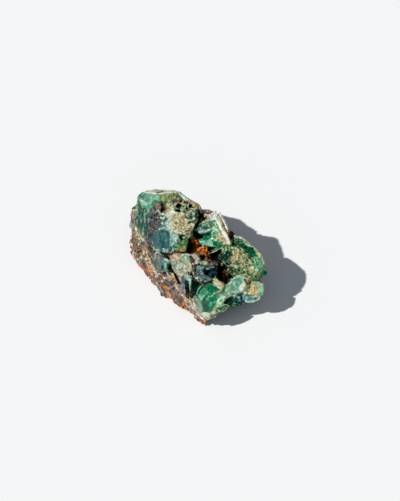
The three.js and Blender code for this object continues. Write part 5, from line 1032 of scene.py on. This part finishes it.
tealCrystals = [
    area("grey green slab", "crystal", "#6f7d73", [(-19.2, 1.4), (-15, 1.2), (-13.2, 0.2), (-14.6, -1.4), (-15, -3.4),
        (-14.8, -6.2), (-13.6, -8.4), (-15.8, -8), (-17.6, -6), (-19.2, -2.4)], ("#525d56", 0.5, 0.25, 70),
        ("#8f9b8e", 0.45, 0.2, 70)),
    spots("dark bits of the slab", "crust", "#4a4648", [(-18.9, -1, 0.8, 1), (-18.6, -2.2, 0.9, 0.8),
        (-17.6, -0.2, 1, 0.5), (-16, 0.5, 0.6, 0.5), (-18.2, 0.8, 0.6, 0.9)]),
    area("beige on the slab", "sugar", "#c3bba4", [(-17.6, 0.3), (-17, 1.3), (-15.4, 1.4), (-14.8, 0.7), (-15.8, 1),
        (-16.6, 0.6)], ("#e2dccb", 0.4, 0.3)),
    area("dark seam over the slab", "rust", "#3a2c22", [(-14.4, 0.3), (-13, 0.4), (-11.8, 0.6), (-11.2, -0.4),
        (-12.4, -0.9), (-14, -0.6)], ("#77604f", 0.4, 0.25)),
    area("teal crystals", "crystal", "#4a7f7c", [(-15, -1.4), (-13.4, -1), (-11.2, -1.2), (-10.6, -2.6), (-11, -4.8),
        (-12, -6), (-14.2, -6.2), (-15, -4.6)], ("#2a5a56", 0.5, 0.25), ("#7faea0", 0.45, 0.2)),
    area("blue band", "crystal", "#559292", [(-15, -2.2), (-13.8, -1.6), (-12.8, -1.6), (-13, -2.6), (-14.4, -2.8)],
        soft=0.2),
    area("pale top of the teal crystals", "frost", "#c3d8c8", [(-14, -1), (-12.4, -1.1), (-11.4, -1.6), (-12, -2.2),
        (-13.2, -1.8)], ("#9cc4bc", 0.5, 0.3), soft=0.2),
    spots("grey pink bit", "frost", "#a3a3a4", [(-11.4, -2.2, 0.8, 1), (-10.3, -2.4, 0.5, 1.4)]),
    spots("salmon bits", "rust", "#bf7050", [(-10.8, -0.4, 0.8, 0.6), (-10.3, -1.4, 0.4, 0.8)]),
    spots("emerald of the teal crystals", "glass", "#37806e", [(-14.3, -3, 1, 0.6), (-11, -2.7, 0.7, 0.7)]),
    spots("navy of the teal crystals", "glass", "#122a32", [(-14.3, -4.5, 0.9, 1.7), (-14.6, -5.6, 0.6, 0.8)]),
    area("aqua shard", "frost", "#8ab8a2", [(-13.7, -3.1), (-12.5, -2.5), (-12.6, -4), (-12.9, -5.2), (-13.3, -5),
        (-13.4, -4)], soft=0.18),
    area("black right of the shard", "glass", "#1b2621", [(-12.3, -3), (-10.9, -3.2), (-10.7, -5), (-11.4, -5.6),
        (-12.5, -5.2)], ("#2f5034", 0.5, 0.25)),
    spots("green ledge", "crystal", "#98c292", [(-11.7, -5.9, 1.7, 0.6)], soft=0.18),
    area("rocky foot of the crystals", "rock", "#857d6c", [(-15.6, -6.6), (-13.6, -6.2), (-10.8, -6.2), (-9.8, -6.2),
        (-9.6, -7.8), (-8.6, -10), (-11, -10.4), (-14.4, -9.6), (-16.4, -8)], ("#2a2018", 0.4, 0.28, -50),
        ("#e2d6c0", 0.4, 0.24, -50), ("#7c7886", 0.5, 0.12)),
    spots("grey purple under the ledge", "crust", "#5f5c66", [(-13.6, -6, 0.8, 1), (-12.9, -7.6, 0.8, 0.5)]),
    streak("olive brown beside the slit", "rust", "#5a4b22", 0.8, [(-11.4, -7.4), (-10.7, -6.6), (-10, -6)]),
    streak("orange by the slit", "rust", "#b87c34", 0.7, [(-9.9, -8.2), (-9.5, -9), (-9.1, -9.8)],
        ("#d8b070", 0.4, 0.25)),
    # painted shade: the slit is painted black
    area("painted shade in the slit", "hole", "#050404", [(-9.9, -6.3), (-9.2, -6.4), (-8.5, -7.4), (-8, -8.6), (-7.3, -9.6),
        (-6.8, -10.6), (-6.8, -11.4), (-7.9, -11), (-8.9, -9.2), (-9.5, -7.8)], ragged=0.1, soft=0.15, lift=0.7),
    area("left blade", "crystal", "#536466", [(-7, -7.9), (-4.2, -7.9), (-4, -9.4), (-4.9, -11), (-5.1, -13),
        (-4.4, -16.6), (-5.4, -16.4), (-6.6, -12.6)], ("#4c5668", 0.5, 0.28, 80), ("#9aa9a8", 0.45, 0.22, 80)),
    spots("lavender blue of the blade", "crust", "#4b5d63", [(-6.4, -9.6, 0.9, 2), (-5.6, -10.9, 0.8, 1.4)]),
    area("lower part of the blade", "crust", "#8b8b90", [(-5.8, -12.8), (-5.1, -12.8), (-4.9, -14.6), (-4.2, -16.6),
        (-5.2, -16.3), (-5.9, -14.4)], ("#7d7f80", 0.4, 0.3, 75)),
    area("aqua top of the blades", "crystal", "#8faea2", [(-5.4, -8), (-3.8, -8.3), (-2.8, -9), (-2.6, -9.8),
        (-3.6, -9.8), (-4.4, -9.4), (-5.2, -9)], ("#b9cfc4", 0.5, 0.25)),
    # painted shade: the left slot is painted dark grey
    area("painted shade in the left slot", "hole", "#3c3c48", [(-4.9, -9.8), (-4, -9.8), (-3.7, -11.4), (-3.6, -13), (-3, -14.6),
        (-2.8, -16.4), (-3.8, -17), (-4.7, -15), (-5, -12.6)], ragged=0.15, soft=0.18),
    area("aqua blade", "frost", "#93c6b2", [(-3.8, -9.4), (-2.8, -9.2), (-2.8, -11), (-3.1, -11.8), (-3.6, -11.2)],
        soft=0.15, ragged=0.1),
    area("grey foot of the aqua blade", "frost", "#8a9496", [(-3.4, -11.6), (-2.8, -11.4), (-2.8, -13.2), (-3, -14.3),
        (-3.4, -13.4)], soft=0.15, ragged=0.1),
    area("right slot", "crust", "#4a8a78", [(-2.3, -9.8), (-0.8, -10.2), (0.8, -10.2), (0.9, -11.2), (0, -12.4),
        (-0.8, -14.2), (-1.8, -15.4), (-2.3, -14.9), (-2.6, -12.2)], ("#2c6156", 0.45, 0.3), ragged=0.2),
    area("dark green behind the slot", "crust", "#2f8068", [(-0.9, -10.1), (0.8, -10.3), (0.6, -11.6), (-0.3, -12.3)],
        ("#0a2a22", 0.45, 0.3)),
    spots("grey foot of the blades", "crust", "#5f605f", [(-2.7, -16.6, 0.9, 0.9), (-1.6, -15.2, 0.7, 0.8)],
        ("#2b2726", 0.45, 0.4)),
    # painted shade: the foot of the slots is painted near black
    spots("painted shade at the foot of the slots", "hole", "#15161b", [(-4.4, -14.6, 0.6, 1.6), (-3.7, -15.9, 0.8, 1.1),
        (-2.3, -15.2, 0.7, 0.9)], ragged=0.2),
]

# Where no place is named, and all over the back: crystals of five to nine millimetres, each
# with a face that leans its own way, in zones from clear green to frosted, sugary and stained.
# A coat is its kind, its colour and two tints.
fluoriteBase = {
    "size": 6.5,
    "seed": 3,
    "zone": 15,
    "bend": 0.3,
    "lean": 0.6,
    "below": 0.7,
    "coats": [
        ("glass", "#1f6b50", "#35906c", "#0f4434"),
        ("crystal", "#4f8a72", "#8fb8a0", "#2f604c"),
        ("crystal", "#6fa88e", "#a3cdb4", "#477f68"),
        ("frost", "#9fb8a4", "#cfdccb", "#6f8f7c"),
        ("crystal", "#5f9078", "#86a894", "#33584a"),
        ("sugar", "#93a07a", "#c6c096", "#4c6144"),
        ("sugar", "#b0a782", "#d3cbaa", "#7c7550"),
        ("crust", "#74786a", "#a09d86", "#454c44"),
        ("crystal", "#5c8a78", "#86b0a0", "#2b5f5c"),
    ],
    "seam": ("crust", "#3f4c3c", 0.4),
}

rock = [
    area("upper rim", "rock", "#80766b", [(-28.4, 16), (-27.6, 19), (-25.4, 18.4), (-24.9, 15), (-25.2, 12),
        (-25.6, 10), (-27, 9.4), (-28.8, 11.6)], ("#c6bcae", 0.5, 0.26, 85), ("#6b6258", 0.45, 0.22, 85)),
    area("pale lump of the rim", "frost", "#a0a799", [(-28.4, 12.6), (-27.4, 13.2), (-26.4, 12.4), (-26.4, 10.8),
        (-27.2, 10.2), (-28.2, 11)], ("#848b7c", 0.45, 0.25)),
    spots("green of the rim", "crystal", "#9db592", [(-26.2, 11.8, 0.6, 1.4), (-26, 15.8, 0.8, 1),
        (-26.6, 18.3, 1, 0.6)]),
    spots("orange of the rim", "rust", "#b0704c", [(-25.5, 10.2, 0.8, 0.6)]),
    spots("dark of the rim", "rust", "#5c5248", [(-25.6, 11, 0.5, 1.1), (-26.3, 9.8, 0.6, 1.2),
        (-25.3, 16.8, 0.8, 0.9), (-27.8, 7.2, 0.6, 1.2)]),
    area("flank", "rock", "#827364", [(-28.8, 9), (-25.8, 10), (-24, 9), (-21, 7.6), (-19.4, 4), (-18.8, 0),
        (-18.6, -3), (-16, -7), (-20, -9.4), (-24, -6), (-27, -1), (-28.6, 4)], ("#dccdb0", 0.35, 0.18, -72),
        ("#33261e", 0.35, 0.22, -72), ("#9a6c48", 0.4, 0.12, -72)),
    streak("brown outer rim", "rock", "#7d6555", 1.6, [(-28.2, 8), (-27.8, 4), (-27.2, 0.4), (-26.2, -1.8)],
        ("#b5a188", 0.4, 0.22, -80), ("#43322a", 0.4, 0.26, -80)),
    area("cream and olive upper flank", "rock", "#7f856c", [(-25.4, 11.8), (-24.4, 11.6), (-22.8, 9.6), (-21.9, 7.6),
        (-22.6, 7), (-24.2, 7.4), (-25.8, 7.8), (-25.9, 9.6)], ("#b5b294", 0.4, 0.2, -70),
        ("#4a5240", 0.4, 0.28, -70)),
    spots("cream on the upper flank", "frost", "#d6d2ba", [(-24.9, 10.8, 0.5, 2.2, 15), (-24, 8.8, 0.35, 1.4, 15),
        (-26.7, 4.5, 0.6, 1.3, 25)]),
    spots("tan on the upper flank", "rock", "#a8946c", [(-25.6, 9.2, 0.9, 1.2), (-25, 8, 0.8, 1.2),
        (-21.5, 6.2, 0.5, 1.2, 15), (-20.8, 2.8, 1.1, 1.6), (-20.8, 4.4, 0.8, 1.6)], share=0.85),
    spots("dark spots of the flank", "rust", "#2e1c14", [(-23.7, 3, 0.9, 1), (-23.4, 3.9, 0.6, 0.8),
        (-21.6, 0.1, 1.1, 0.8), (-21.3, 0.7, 0.5, 0.7), (-25.6, 0.4, 0.6, 0.6), (-24.9, 6.5, 0.8, 0.6),
        (-19.8, 3.4, 0.4, 1.6), (-21.2, -4.3, 0.9, 0.6), (-24.2, 0.2, 0.6, 0.5), (-21.6, -2.9, 0.6, 0.6)],
        ragged=0.3),
    spots("rust spots of the flank", "rust", "#9c5a24", [(-23.8, 2.4, 0.9, 0.6), (-22.6, 3.2, 0.9, 1.4),
        (-26.6, 6.6, 0.6, 0.9), (-25.4, 3, 0.5, 1.6), (-22.8, 1.3, 1, 0.6)]),
    spots("light orange of the flank", "rust", "#c48f50", [(-22.6, 3.1, 0.5, 1.2), (-20.8, -1.4, 0.9, 1, -30),
        (-20.3, -2.6, 1, 0.7, -30), (-19.5, -3.2, 0.7, 1, 20)]),
    spots("cream knobs", "rock", "#e6d8b8", [(-23.5, -0.6, 0.6, 1), (-20.5, -1.3, 0.9, 0.7),
        (-20.9, 1.2, 0.4, 1.3, 30), (-20, 0.2, 0.5, 1), (-19.4, -2.4, 0.5, 0.5)], soft=0.18),
    area("rusty lower edge", "rust", "#8a5038", [(-24.2, -3.6), (-22.6, -3.6), (-20.6, -4.4), (-19.4, -5.6),
        (-18.8, -7.6), (-20.2, -9), (-22.2, -6.8), (-24, -4.8)], ("#bc6c3c", 0.4, 0.2, -50),
        ("#43291f", 0.4, 0.26, -50)),
    streak("orange on the lower edge", "rust", "#c4642e", 0.7, [(-23.4, -4.2), (-22.8, -5), (-22.2, -5.8)]),
    spots("slate in the rust", "rock", "#5f6664", [(-21.8, -5.2, 0.8, 0.8), (-21.2, -6, 0.8, 0.5),
        (-19.1, -6.6, 0.6, 0.8), (-22.8, -3, 1, 0.6), (-20.6, -3.4, 0.6, 0.6)]),
    streak("red brown outer edge", "rust", "#7c4a34", 0.8, [(-26.4, -0.6), (-25.4, -2.2), (-24.2, -3.6)],
        ("#5a3226", 0.4, 0.3)),
    streak("peach band", "rock", "#c69a78", 0.8, [(-19.2, -4), (-18.8, -5.4), (-18.2, -7), (-17.6, -8.2),
        (-17, -9.6)], ("#8a5a40", 0.4, 0.25)),
    streak("cream band along the crystals", "rock", "#d2c4b2", 0.8, [(-18.8, -3.4), (-17.6, -5.4), (-16.8, -7),
        (-16.6, -8.2), (-16, -9)], ("#a5978a", 0.4, 0.25)),
    area("brown grey rock", "rock", "#6a5d54", [(-18.6, -7.4), (-16, -7), (-14.4, -7.4), (-12.6, -8.4), (-11.8, -10),
        (-12, -13), (-10, -16), (-9.4, -19), (-14, -16.6), (-17, -13), (-19, -9.4)],
        ("#3a2f28", 0.45, 0.26, -50), ("#b3a594", 0.4, 0.17, -50), ("#95603e", 0.45, 0.14, -50)),
    streak("pale curl", "rock", "#cbbb9c", 0.5, [(-15.6, -7), (-14.6, -7.2), (-13.8, -8), (-13.2, -8.8)]),
    streak("dark curl", "rust", "#41301f", 0.5, [(-15.3, -7.5), (-14.6, -7.9), (-13.9, -8.8)]),
    spots("slate by the curl", "rock", "#6e7678", [(-15.6, -7.8, 0.9, 1), (-14, -9.6, 0.7, 0.9),
        (-15, -13.4, 0.8, 0.6)]),
    spots("cream chips", "rock", "#e0d4c2", [(-16.6, -7.8, 0.7, 0.9), (-13.1, -8.3, 0.7, 0.6),
        (-11.9, -8.8, 0.9, 0.6), (-14.6, -9.6, 0.4, 0.9, 30), (-11, -8.3, 1, 0.6), (-16.5, -11, 0.5, 0.8),
        (-7.2, -15, 0.8, 0.6), (-8, -14.2, 0.6, 0.6)], soft=0.18),
    spots("brown spots", "rust", "#4c2c14", [(-15.4, -8.9, 0.8, 0.8), (-14.2, -12.9, 0.9, 0.6),
        (-15.9, -11, 0.9, 0.6, -40)]),
    spots("red orange spots", "rust", "#ac5c3c", [(-14.2, -11.9, 1.2, 0.6), (-17.9, -7.8, 0.9, 0.8),
        (-17.1, -9.4, 0.6, 1), (-9.4, -13.7, 1, 0.7)]),
    streak("orange band", "rust", "#c0824c", 0.9, [(-13.4, -12.4), (-12.2, -13.4), (-12.4, -15), (-11.4, -16.4),
        (-10.4, -17.4)], ("#80502c", 0.4, 0.3)),
    area("lavender grey rock", "rock", "#857d7a", [(-12.4, -8.8), (-9.8, -8.8), (-8.4, -10.6), (-7, -11.2),
        (-5.8, -13.6), (-5.2, -16.4), (-7.4, -15.4), (-9.4, -14.4), (-11.4, -13.6), (-12, -11)],
        ("#a99f94", 0.4, 0.2, -55), ("#5a5250", 0.4, 0.22, -55), ("#9a7464", 0.45, 0.1, -55)),
    streak("brown stripe in the grey", "rock", "#4f443c", 0.5, [(-12.2, -10.8), (-11.6, -12.2), (-10.8, -13.6)]),
    streak("tan band by the slit", "rock", "#cbb99c", 0.7, [(-9.2, -10.6), (-8.6, -12), (-8, -13.6), (-7.2, -15)],
        ("#a07c54", 0.4, 0.25)),
    spots("dark teal by the slit", "crust", "#414b48", [(-7.9, -10.8, 0.9, 0.8)]),
    area("rosy brown rock", "rock", "#806358", [(-11.4, -13.8), (-9.2, -14.4), (-7.2, -15.8), (-5.4, -17),
        (-7.6, -19), (-9.6, -18.6), (-11, -16)], ("#a87a66", 0.4, 0.22, -50), ("#544a42", 0.4, 0.26, -50)),
    streak("dark grey band", "rock", "#5a5148", 0.8, [(-9, -15.8), (-7.8, -16.8), (-6.9, -18.2)]),
    streak("pale line by the blades", "rock", "#c2ab98", 0.5, [(-6.6, -15.4), (-5, -16.6), (-3.8, -17.6)]),
    area("orange patch", "rust", "#c07a3c", [(-6.6, -19.4), (-6, -18), (-4.6, -17.9), (-3.4, -18.4), (-3.8, -19.6),
        (-5.6, -19.4), (-6, -20.4)], ("#e0a460", 0.5, 0.3), ("#7c4820", 0.4, 0.2)),
    spots("cream over the patch", "rock", "#e2c9b4", [(-5, -17.7, 0.9, 0.6), (-3.7, -18.6, 0.5, 0.9)]),
    area("brown red foot", "rust", "#7a462e", [(-8.8, -19), (-6.8, -19.6), (-4.4, -20.2), (-4.2, -21.8),
        (-7.4, -21.9)], ("#4a281c", 0.45, 0.28), ("#b87444", 0.4, 0.22)),
    area("grey tan end", "rock", "#a79a8c", [(-3.8, -17.2), (-1.4, -16.6), (0.2, -20), (1.8, -23.6), (3.6, -26),
        (1, -26.6), (-1.4, -24.2), (-3.4, -21.4), (-4.6, -20.4)],
        ("#cfc3b2", 0.4, 0.22, -50), ("#6c5e52", 0.4, 0.22, -50)),
    streak("cream stripe of the end", "rock", "#c0b39f", 0.5, [(-2.4, -19), (-1.2, -20.6), (0, -22.2), (1.6, -24.4)]),
    streak("brown stripe of the end", "rock", "#6d5549", 0.6, [(-3, -20.4), (-2, -21.8), (-1, -23)]),
    spots("maroon bits of the end", "rust", "#64403a", [(-1.6, -23.2, 0.9, 0.6, -40), (-2.4, -21.8, 0.9, 0.6, -40),
        (-1.6, -16.2, 0.8, 1)]),
    streak("rust on the lower edge", "rust", "#96603f", 0.8, [(-4, -21), (-3.2, -22), (-2.2, -23), (-1.4, -24)],
        ("#6a402a", 0.4, 0.3)),
    area("lower tip", "rust", "#8a5c40", [(-1.2, -24.6), (0, -25), (1.6, -26), (4.2, -26.4), (3.8, -28), (0.6, -27.6),
        (-0.8, -26)], ("#c08858", 0.4, 0.25), ("#5a3a2a", 0.4, 0.25)),
]

# The same for the rock: lumps of three millimetres, grey, brown and rusty.
matrixBase = {
    "size": 3,
    "seed": 5,
    "zone": 6,
    "bend": 0.9,
    "lean": 0.45,
    "below": 0.3,
    "coats": [
        ("rock", "#6a574a", "#94826f", "#33281f"),
        ("rock", "#7c6a5c", "#b3a594", "#4a3c32"),
        ("rust", "#7c4f36", "#a5683c", "#4a2c20"),
        ("rock", "#857a72", "#b0a598", "#5a5250"),
        ("rock", "#94826f", "#c6b89e", "#5f5046"),
        ("rust", "#8a5a3c", "#b8804c", "#54301f"),
        ("rock", "#756a62", "#a2917a", "#463c36"),
    ],
    "seam": ("rust", "#33271f", 0.4),
}

# How the two stones close up, in millimetres: from how far, and the gap that they keep. They
# close up fully within a share of that reach.
contact = {"reach": 1.3, "full": 0.4, "gap": 0.06}


def closeTo(node, other):
    # The two grew together: points near the other stone are drawn up to it, just short of touching.
    mesh = fine[node]
    points = vectors(mesh.vertices, "co")
    reach, gap = contact["reach"], contact["gap"]
    for i, p in enumerate(points):
        found = trees[other].find_nearest(Vector(p), reach * mm)
        nearest, away = found[0], found[3]
        if nearest is not None and away > gap * mm:
            draw = float(smoothStep(reach, reach * contact["full"], away / mm))
            points[i] = np.array(Vector(p).lerp(nearest, draw * (1 - gap * mm / away)))
    mesh.vertices.foreach_set("co", points.ravel())
    mesh.update()


# Sugary grains: sizes in millimetres, how much a grain's round top and its leaning face
# count, and how much darker the gaps between the grains are painted, as shade in the creases.
grains = {
    "size": 0.8,
    "bendSize": 0.9,
    "bend": 0.3,
    "rim": 0.55,
    "roundness": 0.7,
    "lean": 0.9,
    "full": 0.3,
    "ownLight": 0.25,
    "gap": (0.55, 0.85),
    "gapShade": 0.3,
}
# The finer relief: the sizes in millimetres of its noises, and how much they count.
texture = {"driftSize": 5, "drift": 1.2, "fineSize": 0.8, "wideSize": 2.4, "mottle": 0.8}
# The streaks of the rock run along its flank: a turn in the view, and their size each way.
streaks = {"cos": 0.78, "sin": 0.62, "sizes": [2.6, 0.7, 1]}
# A point sinks no further than a share of the stone below it, so nothing sinks through a thin
# edge, and the foot stays as it rests. All in millimetres, but for the share.
limits = {"sinks": -0.12, "start": 0.15, "least": -0.05, "share": 0.35, "foot": (0.1, 0.8)}
# How far light and dark may change a colour, and from which brightness a place is clear.
colourLimits = {"darkest": 0.15, "lightest": 2.2, "brightest": 0.85, "clearFrom": (0, 0.1)}


def heldBack(lift, node, points, normals):
    for i in np.nonzero(lift < limits["sinks"])[0]:
        inward = -Vector(normals[i])
        through = trees[node].ray_cast((Vector(points[i]) + inward * limits["start"]) * mm, inward)[3]
        if through is not None:
            lift[i] = max(lift[i], limits["least"] - limits["share"] * through / mm)
    return lift


def worked(node, base, places, relief):
    # Paints the fine mesh, moves its points by the relief of each coat, and stores the coat on it.
    mesh = fine[node]
    points = vectors(mesh.vertices, "co") / mm
    normals = vectors(mesh.vertex_normals, "vector")
    coat = paint(points, normals, base, places)
    bent = points + grains["bend"] * noises(points, grains["bendSize"], seeds["grainBend"])
    near, _, own, face = cells(bent, grains["size"], seeds["grain"])
    drift = softNoise(points, texture["driftSize"], seeds["drift"])
    steps = (points @ np.array(relief["along"]) / relief["step"] + drift * texture["drift"]) % 1 - 0.5
    fineNoise = softNoise(points, texture["fineSize"], seeds["fine"], 3)
    wide = softNoise(points, texture["wideSize"], seeds["wide"], 3)
    runAxis = across * streaks["cos"] - upward * streaks["sin"]
    sideAxis = upward * streaks["cos"] + across * streaks["sin"]
    runs = points @ np.array([runAxis, sideAxis, toEye]).T
    ridges = softNoise(runs / streaks["sizes"], 1, seeds["ridges"], 3)
    grain = (grains["rim"] - near) * grains["roundness"] + face * grains["lean"]
    lift = coat["steps"] * steps + coat["grain"] * grain + coat["fine"] * fineNoise
    lift += coat["faces"] + relief["ridge"] * ridges + relief["wide"] * wide - coat["sink"]
    lift = heldBack(lift, node, points, normals)
    kept = smoothStep(*limits["foot"], points[:, 2])
    moved = points + normals * (lift * kept)[:, None] + eyeAxis * (coat["rise"] * kept)[:, None]
    low, high = (np.array(corner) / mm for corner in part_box(node))
    moved = np.clip(moved, low, high)
    mesh.vertices.foreach_set("co", (moved * mm).ravel())
    mesh.update()
    grainy = np.clip(coat["grain"] / grains["full"], 0, 1)
    light = 1 + coat["mottle"] * (texture["mottle"] * wide + texture["mottle"] * fineNoise)
    light += grainy * (grains["ownLight"] * own)
    light += relief["colour"] * ridges
    # painted shade in the gaps between the grains
    light *= 1 - grains["gapShade"] * grainy * smoothStep(*grains["gap"], near)
    colour = coat["colour"] * np.clip(light, colourLimits["darkest"], colourLimits["lightest"])[:, None]
    colour /= np.maximum(colour.max(axis=1) / colourLimits["brightest"], 1)[:, None]
    stored = mesh.attributes.new("coat", "FLOAT_COLOR", "POINT")
    solid = np.ones((len(colour), 1))
    stored.data.foreach_set("color", np.concatenate([colour, solid], axis=1).ravel())
    coat["clear"] *= smoothStep(*colourLimits["clearFrom"], colour.mean(axis=1))
    for name in ("clear", "rough"):
        mesh.attributes.new(name, "FLOAT", "POINT").data.foreach_set("value", coat[name])


closeTo("matrix", "fluorite")
fluoritePlaces = rock + leftBlock + wedge + hollow + rightLobe + lowLobe + middle + emerald + tealCrystals
# The direction and height in millimetres of the cleavage steps or beds, and the relief and
# colour of the wider swells.
fluoriteRelief = {"along": (0.35, 0.55, 0.76), "step": 1.7, "ridge": 0.02, "wide": 0.08, "colour": 0.1}
matrixRelief = {"along": (0.2, 0.4, 0.9), "step": 2, "ridge": 0.3, "wide": 0.2, "colour": 0.3}
worked("fluorite", fluoriteBase, fluoritePlaces, fluoriteRelief)
print("fluorite painted")
worked("matrix", matrixBase, rock, matrixRelief)
print("matrix painted")


def coated(name):
    # A material that takes its colour from the coat painted on the piece.
    material = bpy.data.materials.new(name)
    material.use_nodes = True
    tree = material.node_tree
    tree.nodes.clear()
    coords = addNode(tree, "TexCoord", {}, {}).outputs["Object"]
    return material, tree, coords, painted(tree, "coat", "Color")


def painted(tree, name, output="Fac"):
    return addNode(tree, "Attribute", {"attribute_name": name}, {}).outputs[output]


def noiseNode(tree, coords, size, detail, roughness):
    inputs = {"Vector": coords, "Scale": 1 / (size * mm), "Detail": detail, "Roughness": roughness}
    return addNode(tree, "TexNoise", {}, inputs).outputs["Fac"]


def mapped(tree, value, source, target, **settings):
    inputs = {"Value": value, "From Min": source[0], "From Max": source[1]}
    inputs.update({"To Min": target[0], "To Max": target[1]})
    return addNode(tree, "MapRange", settings, inputs).outputs["Result"]


def scaled(tree, colour, light):
    inputs = {"Vector": colour, "Scale": light}
    return addNode(tree, "VectorMath", {"operation": "SCALE"}, inputs).outputs["Vector"]


# Fluorite, broken along its cleavage: a soft glassy gloss, green glass where it is clear,
# milky and frosted where it is bruised, and sugary where it grew as a crust. Noises are a
# size in millimetres, a detail and a roughness; ranges turn noise into light.
fluoriteLook = {
    "speck": (0.55, 4, 0.65),
    "speckRange": (0.3, 0.7),
    "speckLight": (0.64, 1.36),
    "speckRough": 0.2,
    "veil": (2.2, 3, 0.5),
    "veilTurn": (0.5, 0.3, 0.8),
    "veilThin": (1, 1, 4.5),
    "veilRange": (0.56, 0.7),
    "veilLight": (1, 1.4),
    "bump": 0.35,
    "bumpHeight": 0.25,
    "ior": 1.434,
    "gloss": 0.07,
    "within": "#6fd8a8",
    "density": 160,
}
greenFluorite, tree, coords, coat = coated("greenFluorite")
clear, rough = painted(tree, "clear"), painted(tree, "rough")
speck = noiseNode(tree, coords, *fluoriteLook["speck"])
speckLight = mapped(tree, speck, fluoriteLook["speckRange"], fluoriteLook["speckLight"])
turned = addNode(tree, "Mapping", {}, {
    "Vector": coords,
    "Rotation": fluoriteLook["veilTurn"],
    "Scale": fluoriteLook["veilThin"],
})
veil = noiseNode(tree, turned.outputs["Vector"], *fluoriteLook["veil"])
veilLight = mapped(
    tree, veil, fluoriteLook["veilRange"], fluoriteLook["veilLight"], interpolation_type="SMOOTHSTEP"
)
veiled = scaled(tree, scaled(tree, coat, speckLight), veilLight)
roughness = addNode(tree, "Math", {"operation": "MULTIPLY_ADD"}, {0: speck, 1: fluoriteLook["speckRough"], 2: rough})
bump = addNode(tree, "Bump", {}, {
    "Height": speck,
    "Strength": fluoriteLook["bump"],
    "Distance": fluoriteLook["bumpHeight"] * mm,
})
surface = addNode(tree, "BsdfPrincipled", {}, {
    "Base Color": veiled,
    "Roughness": roughness.outputs["Value"],
    "IOR": fluoriteLook["ior"],
    "Specular IOR Level": fluoriteLook["gloss"],
    "Transmission Weight": clear,
    "Normal": bump.outputs["Normal"],
})
depth = addNode(tree, "VolumeAbsorption", {}, {
    "Color": (*linear(fluoriteLook["within"]), 1),
    "Density": fluoriteLook["density"],
})
addNode(tree, "OutputMaterial", {}, {"Surface": surface.outputs["BSDF"], "Volume": depth.outputs["Volume"]})

# Ironstone matrix: dull, gritty, with rusty and bleached streaks.
rockLook = {
    "grit": (0.45, 5, 0.7),
    "gritRange": (0.3, 0.7),
    "gritLight": (0.62, 1.38),
    "bump": 0.6,
    "bumpHeight": 0.3,
}
rustyIronstone, tree, coords, coat = coated("rustyIronstone")
grit = noiseNode(tree, coords, *rockLook["grit"])
lit = scaled(tree, coat, mapped(tree, grit, rockLook["gritRange"], rockLook["gritLight"]))
bump = addNode(tree, "Bump", {}, {
    "Height": grit,
    "Strength": rockLook["bump"],
    "Distance": rockLook["bumpHeight"] * mm,
})
surface = addNode(tree, "BsdfPrincipled", {}, {
    "Base Color": lit,
    "Roughness": painted(tree, "rough"),
    "Normal": bump.outputs["Normal"],
})
addNode(tree, "OutputMaterial", {}, {"Surface": surface.outputs["BSDF"]})

pieces = {"fluorite": (greenFluorite, "fluoriteCrystals"), "matrix": (rustyIronstone, "rustyMatrix")}
for node, (material, name) in pieces.items():
    mesh = fine[node]
    mesh.name = name
    mesh.materials.clear()
    mesh.materials.append(material)
    piece = bpy.data.objects.new(name, mesh)
    bpy.context.scene.collection.objects.link(piece)
    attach(piece, "root")
    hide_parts(node)
print("pieces finished")

floorShape = bmesh.new()
bmesh.ops.create_grid(floorShape, x_segments=1, y_segments=1, size=studio["floorReach"])
floorMesh = bpy.data.meshes.new("floor")
floorShape.to_mesh(floorMesh)
floorShape.free()
floor = bpy.data.objects.new("floor", floorMesh)
bpy.context.scene.collection.objects.link(floor)
paper = bpy.data.materials.new("paleFloor")
paper.use_nodes = True
paperInputs = paper.node_tree.nodes["Principled BSDF"].inputs
paperInputs["Base Color"].default_value = (*linear(studio["floor"]), 1)
paperInputs["Roughness"].default_value = studio["floorRough"]
paperInputs["Specular IOR Level"].default_value = studio["floorGloss"]
floorMesh.materials.append(paper)

world = bpy.data.worlds.new("surround")
world.use_nodes = True
background = world.node_tree.nodes["Background"].inputs
background["Color"].default_value = (*linear(studio["surround"]), 1)
background["Strength"].default_value = studio["ambient"]
bpy.context.scene.world = world
sun = bpy.data.lights.new("sun", "SUN")
sun.energy = studio["sun"]
sun.color = linear(studio["sunlight"])
sun.angle = math.radians(studio["sunAngle"])
sunObject = bpy.data.objects.new("sun", sun)
sunObject.rotation_euler = Vector(studio["toSun"]).to_track_quat("Z", "Y").to_euler()
bpy.context.scene.collection.objects.link(sunObject)
bpy.context.scene.view_settings.view_transform = "Standard"
bpy.context.scene.view_settings.look = "None"
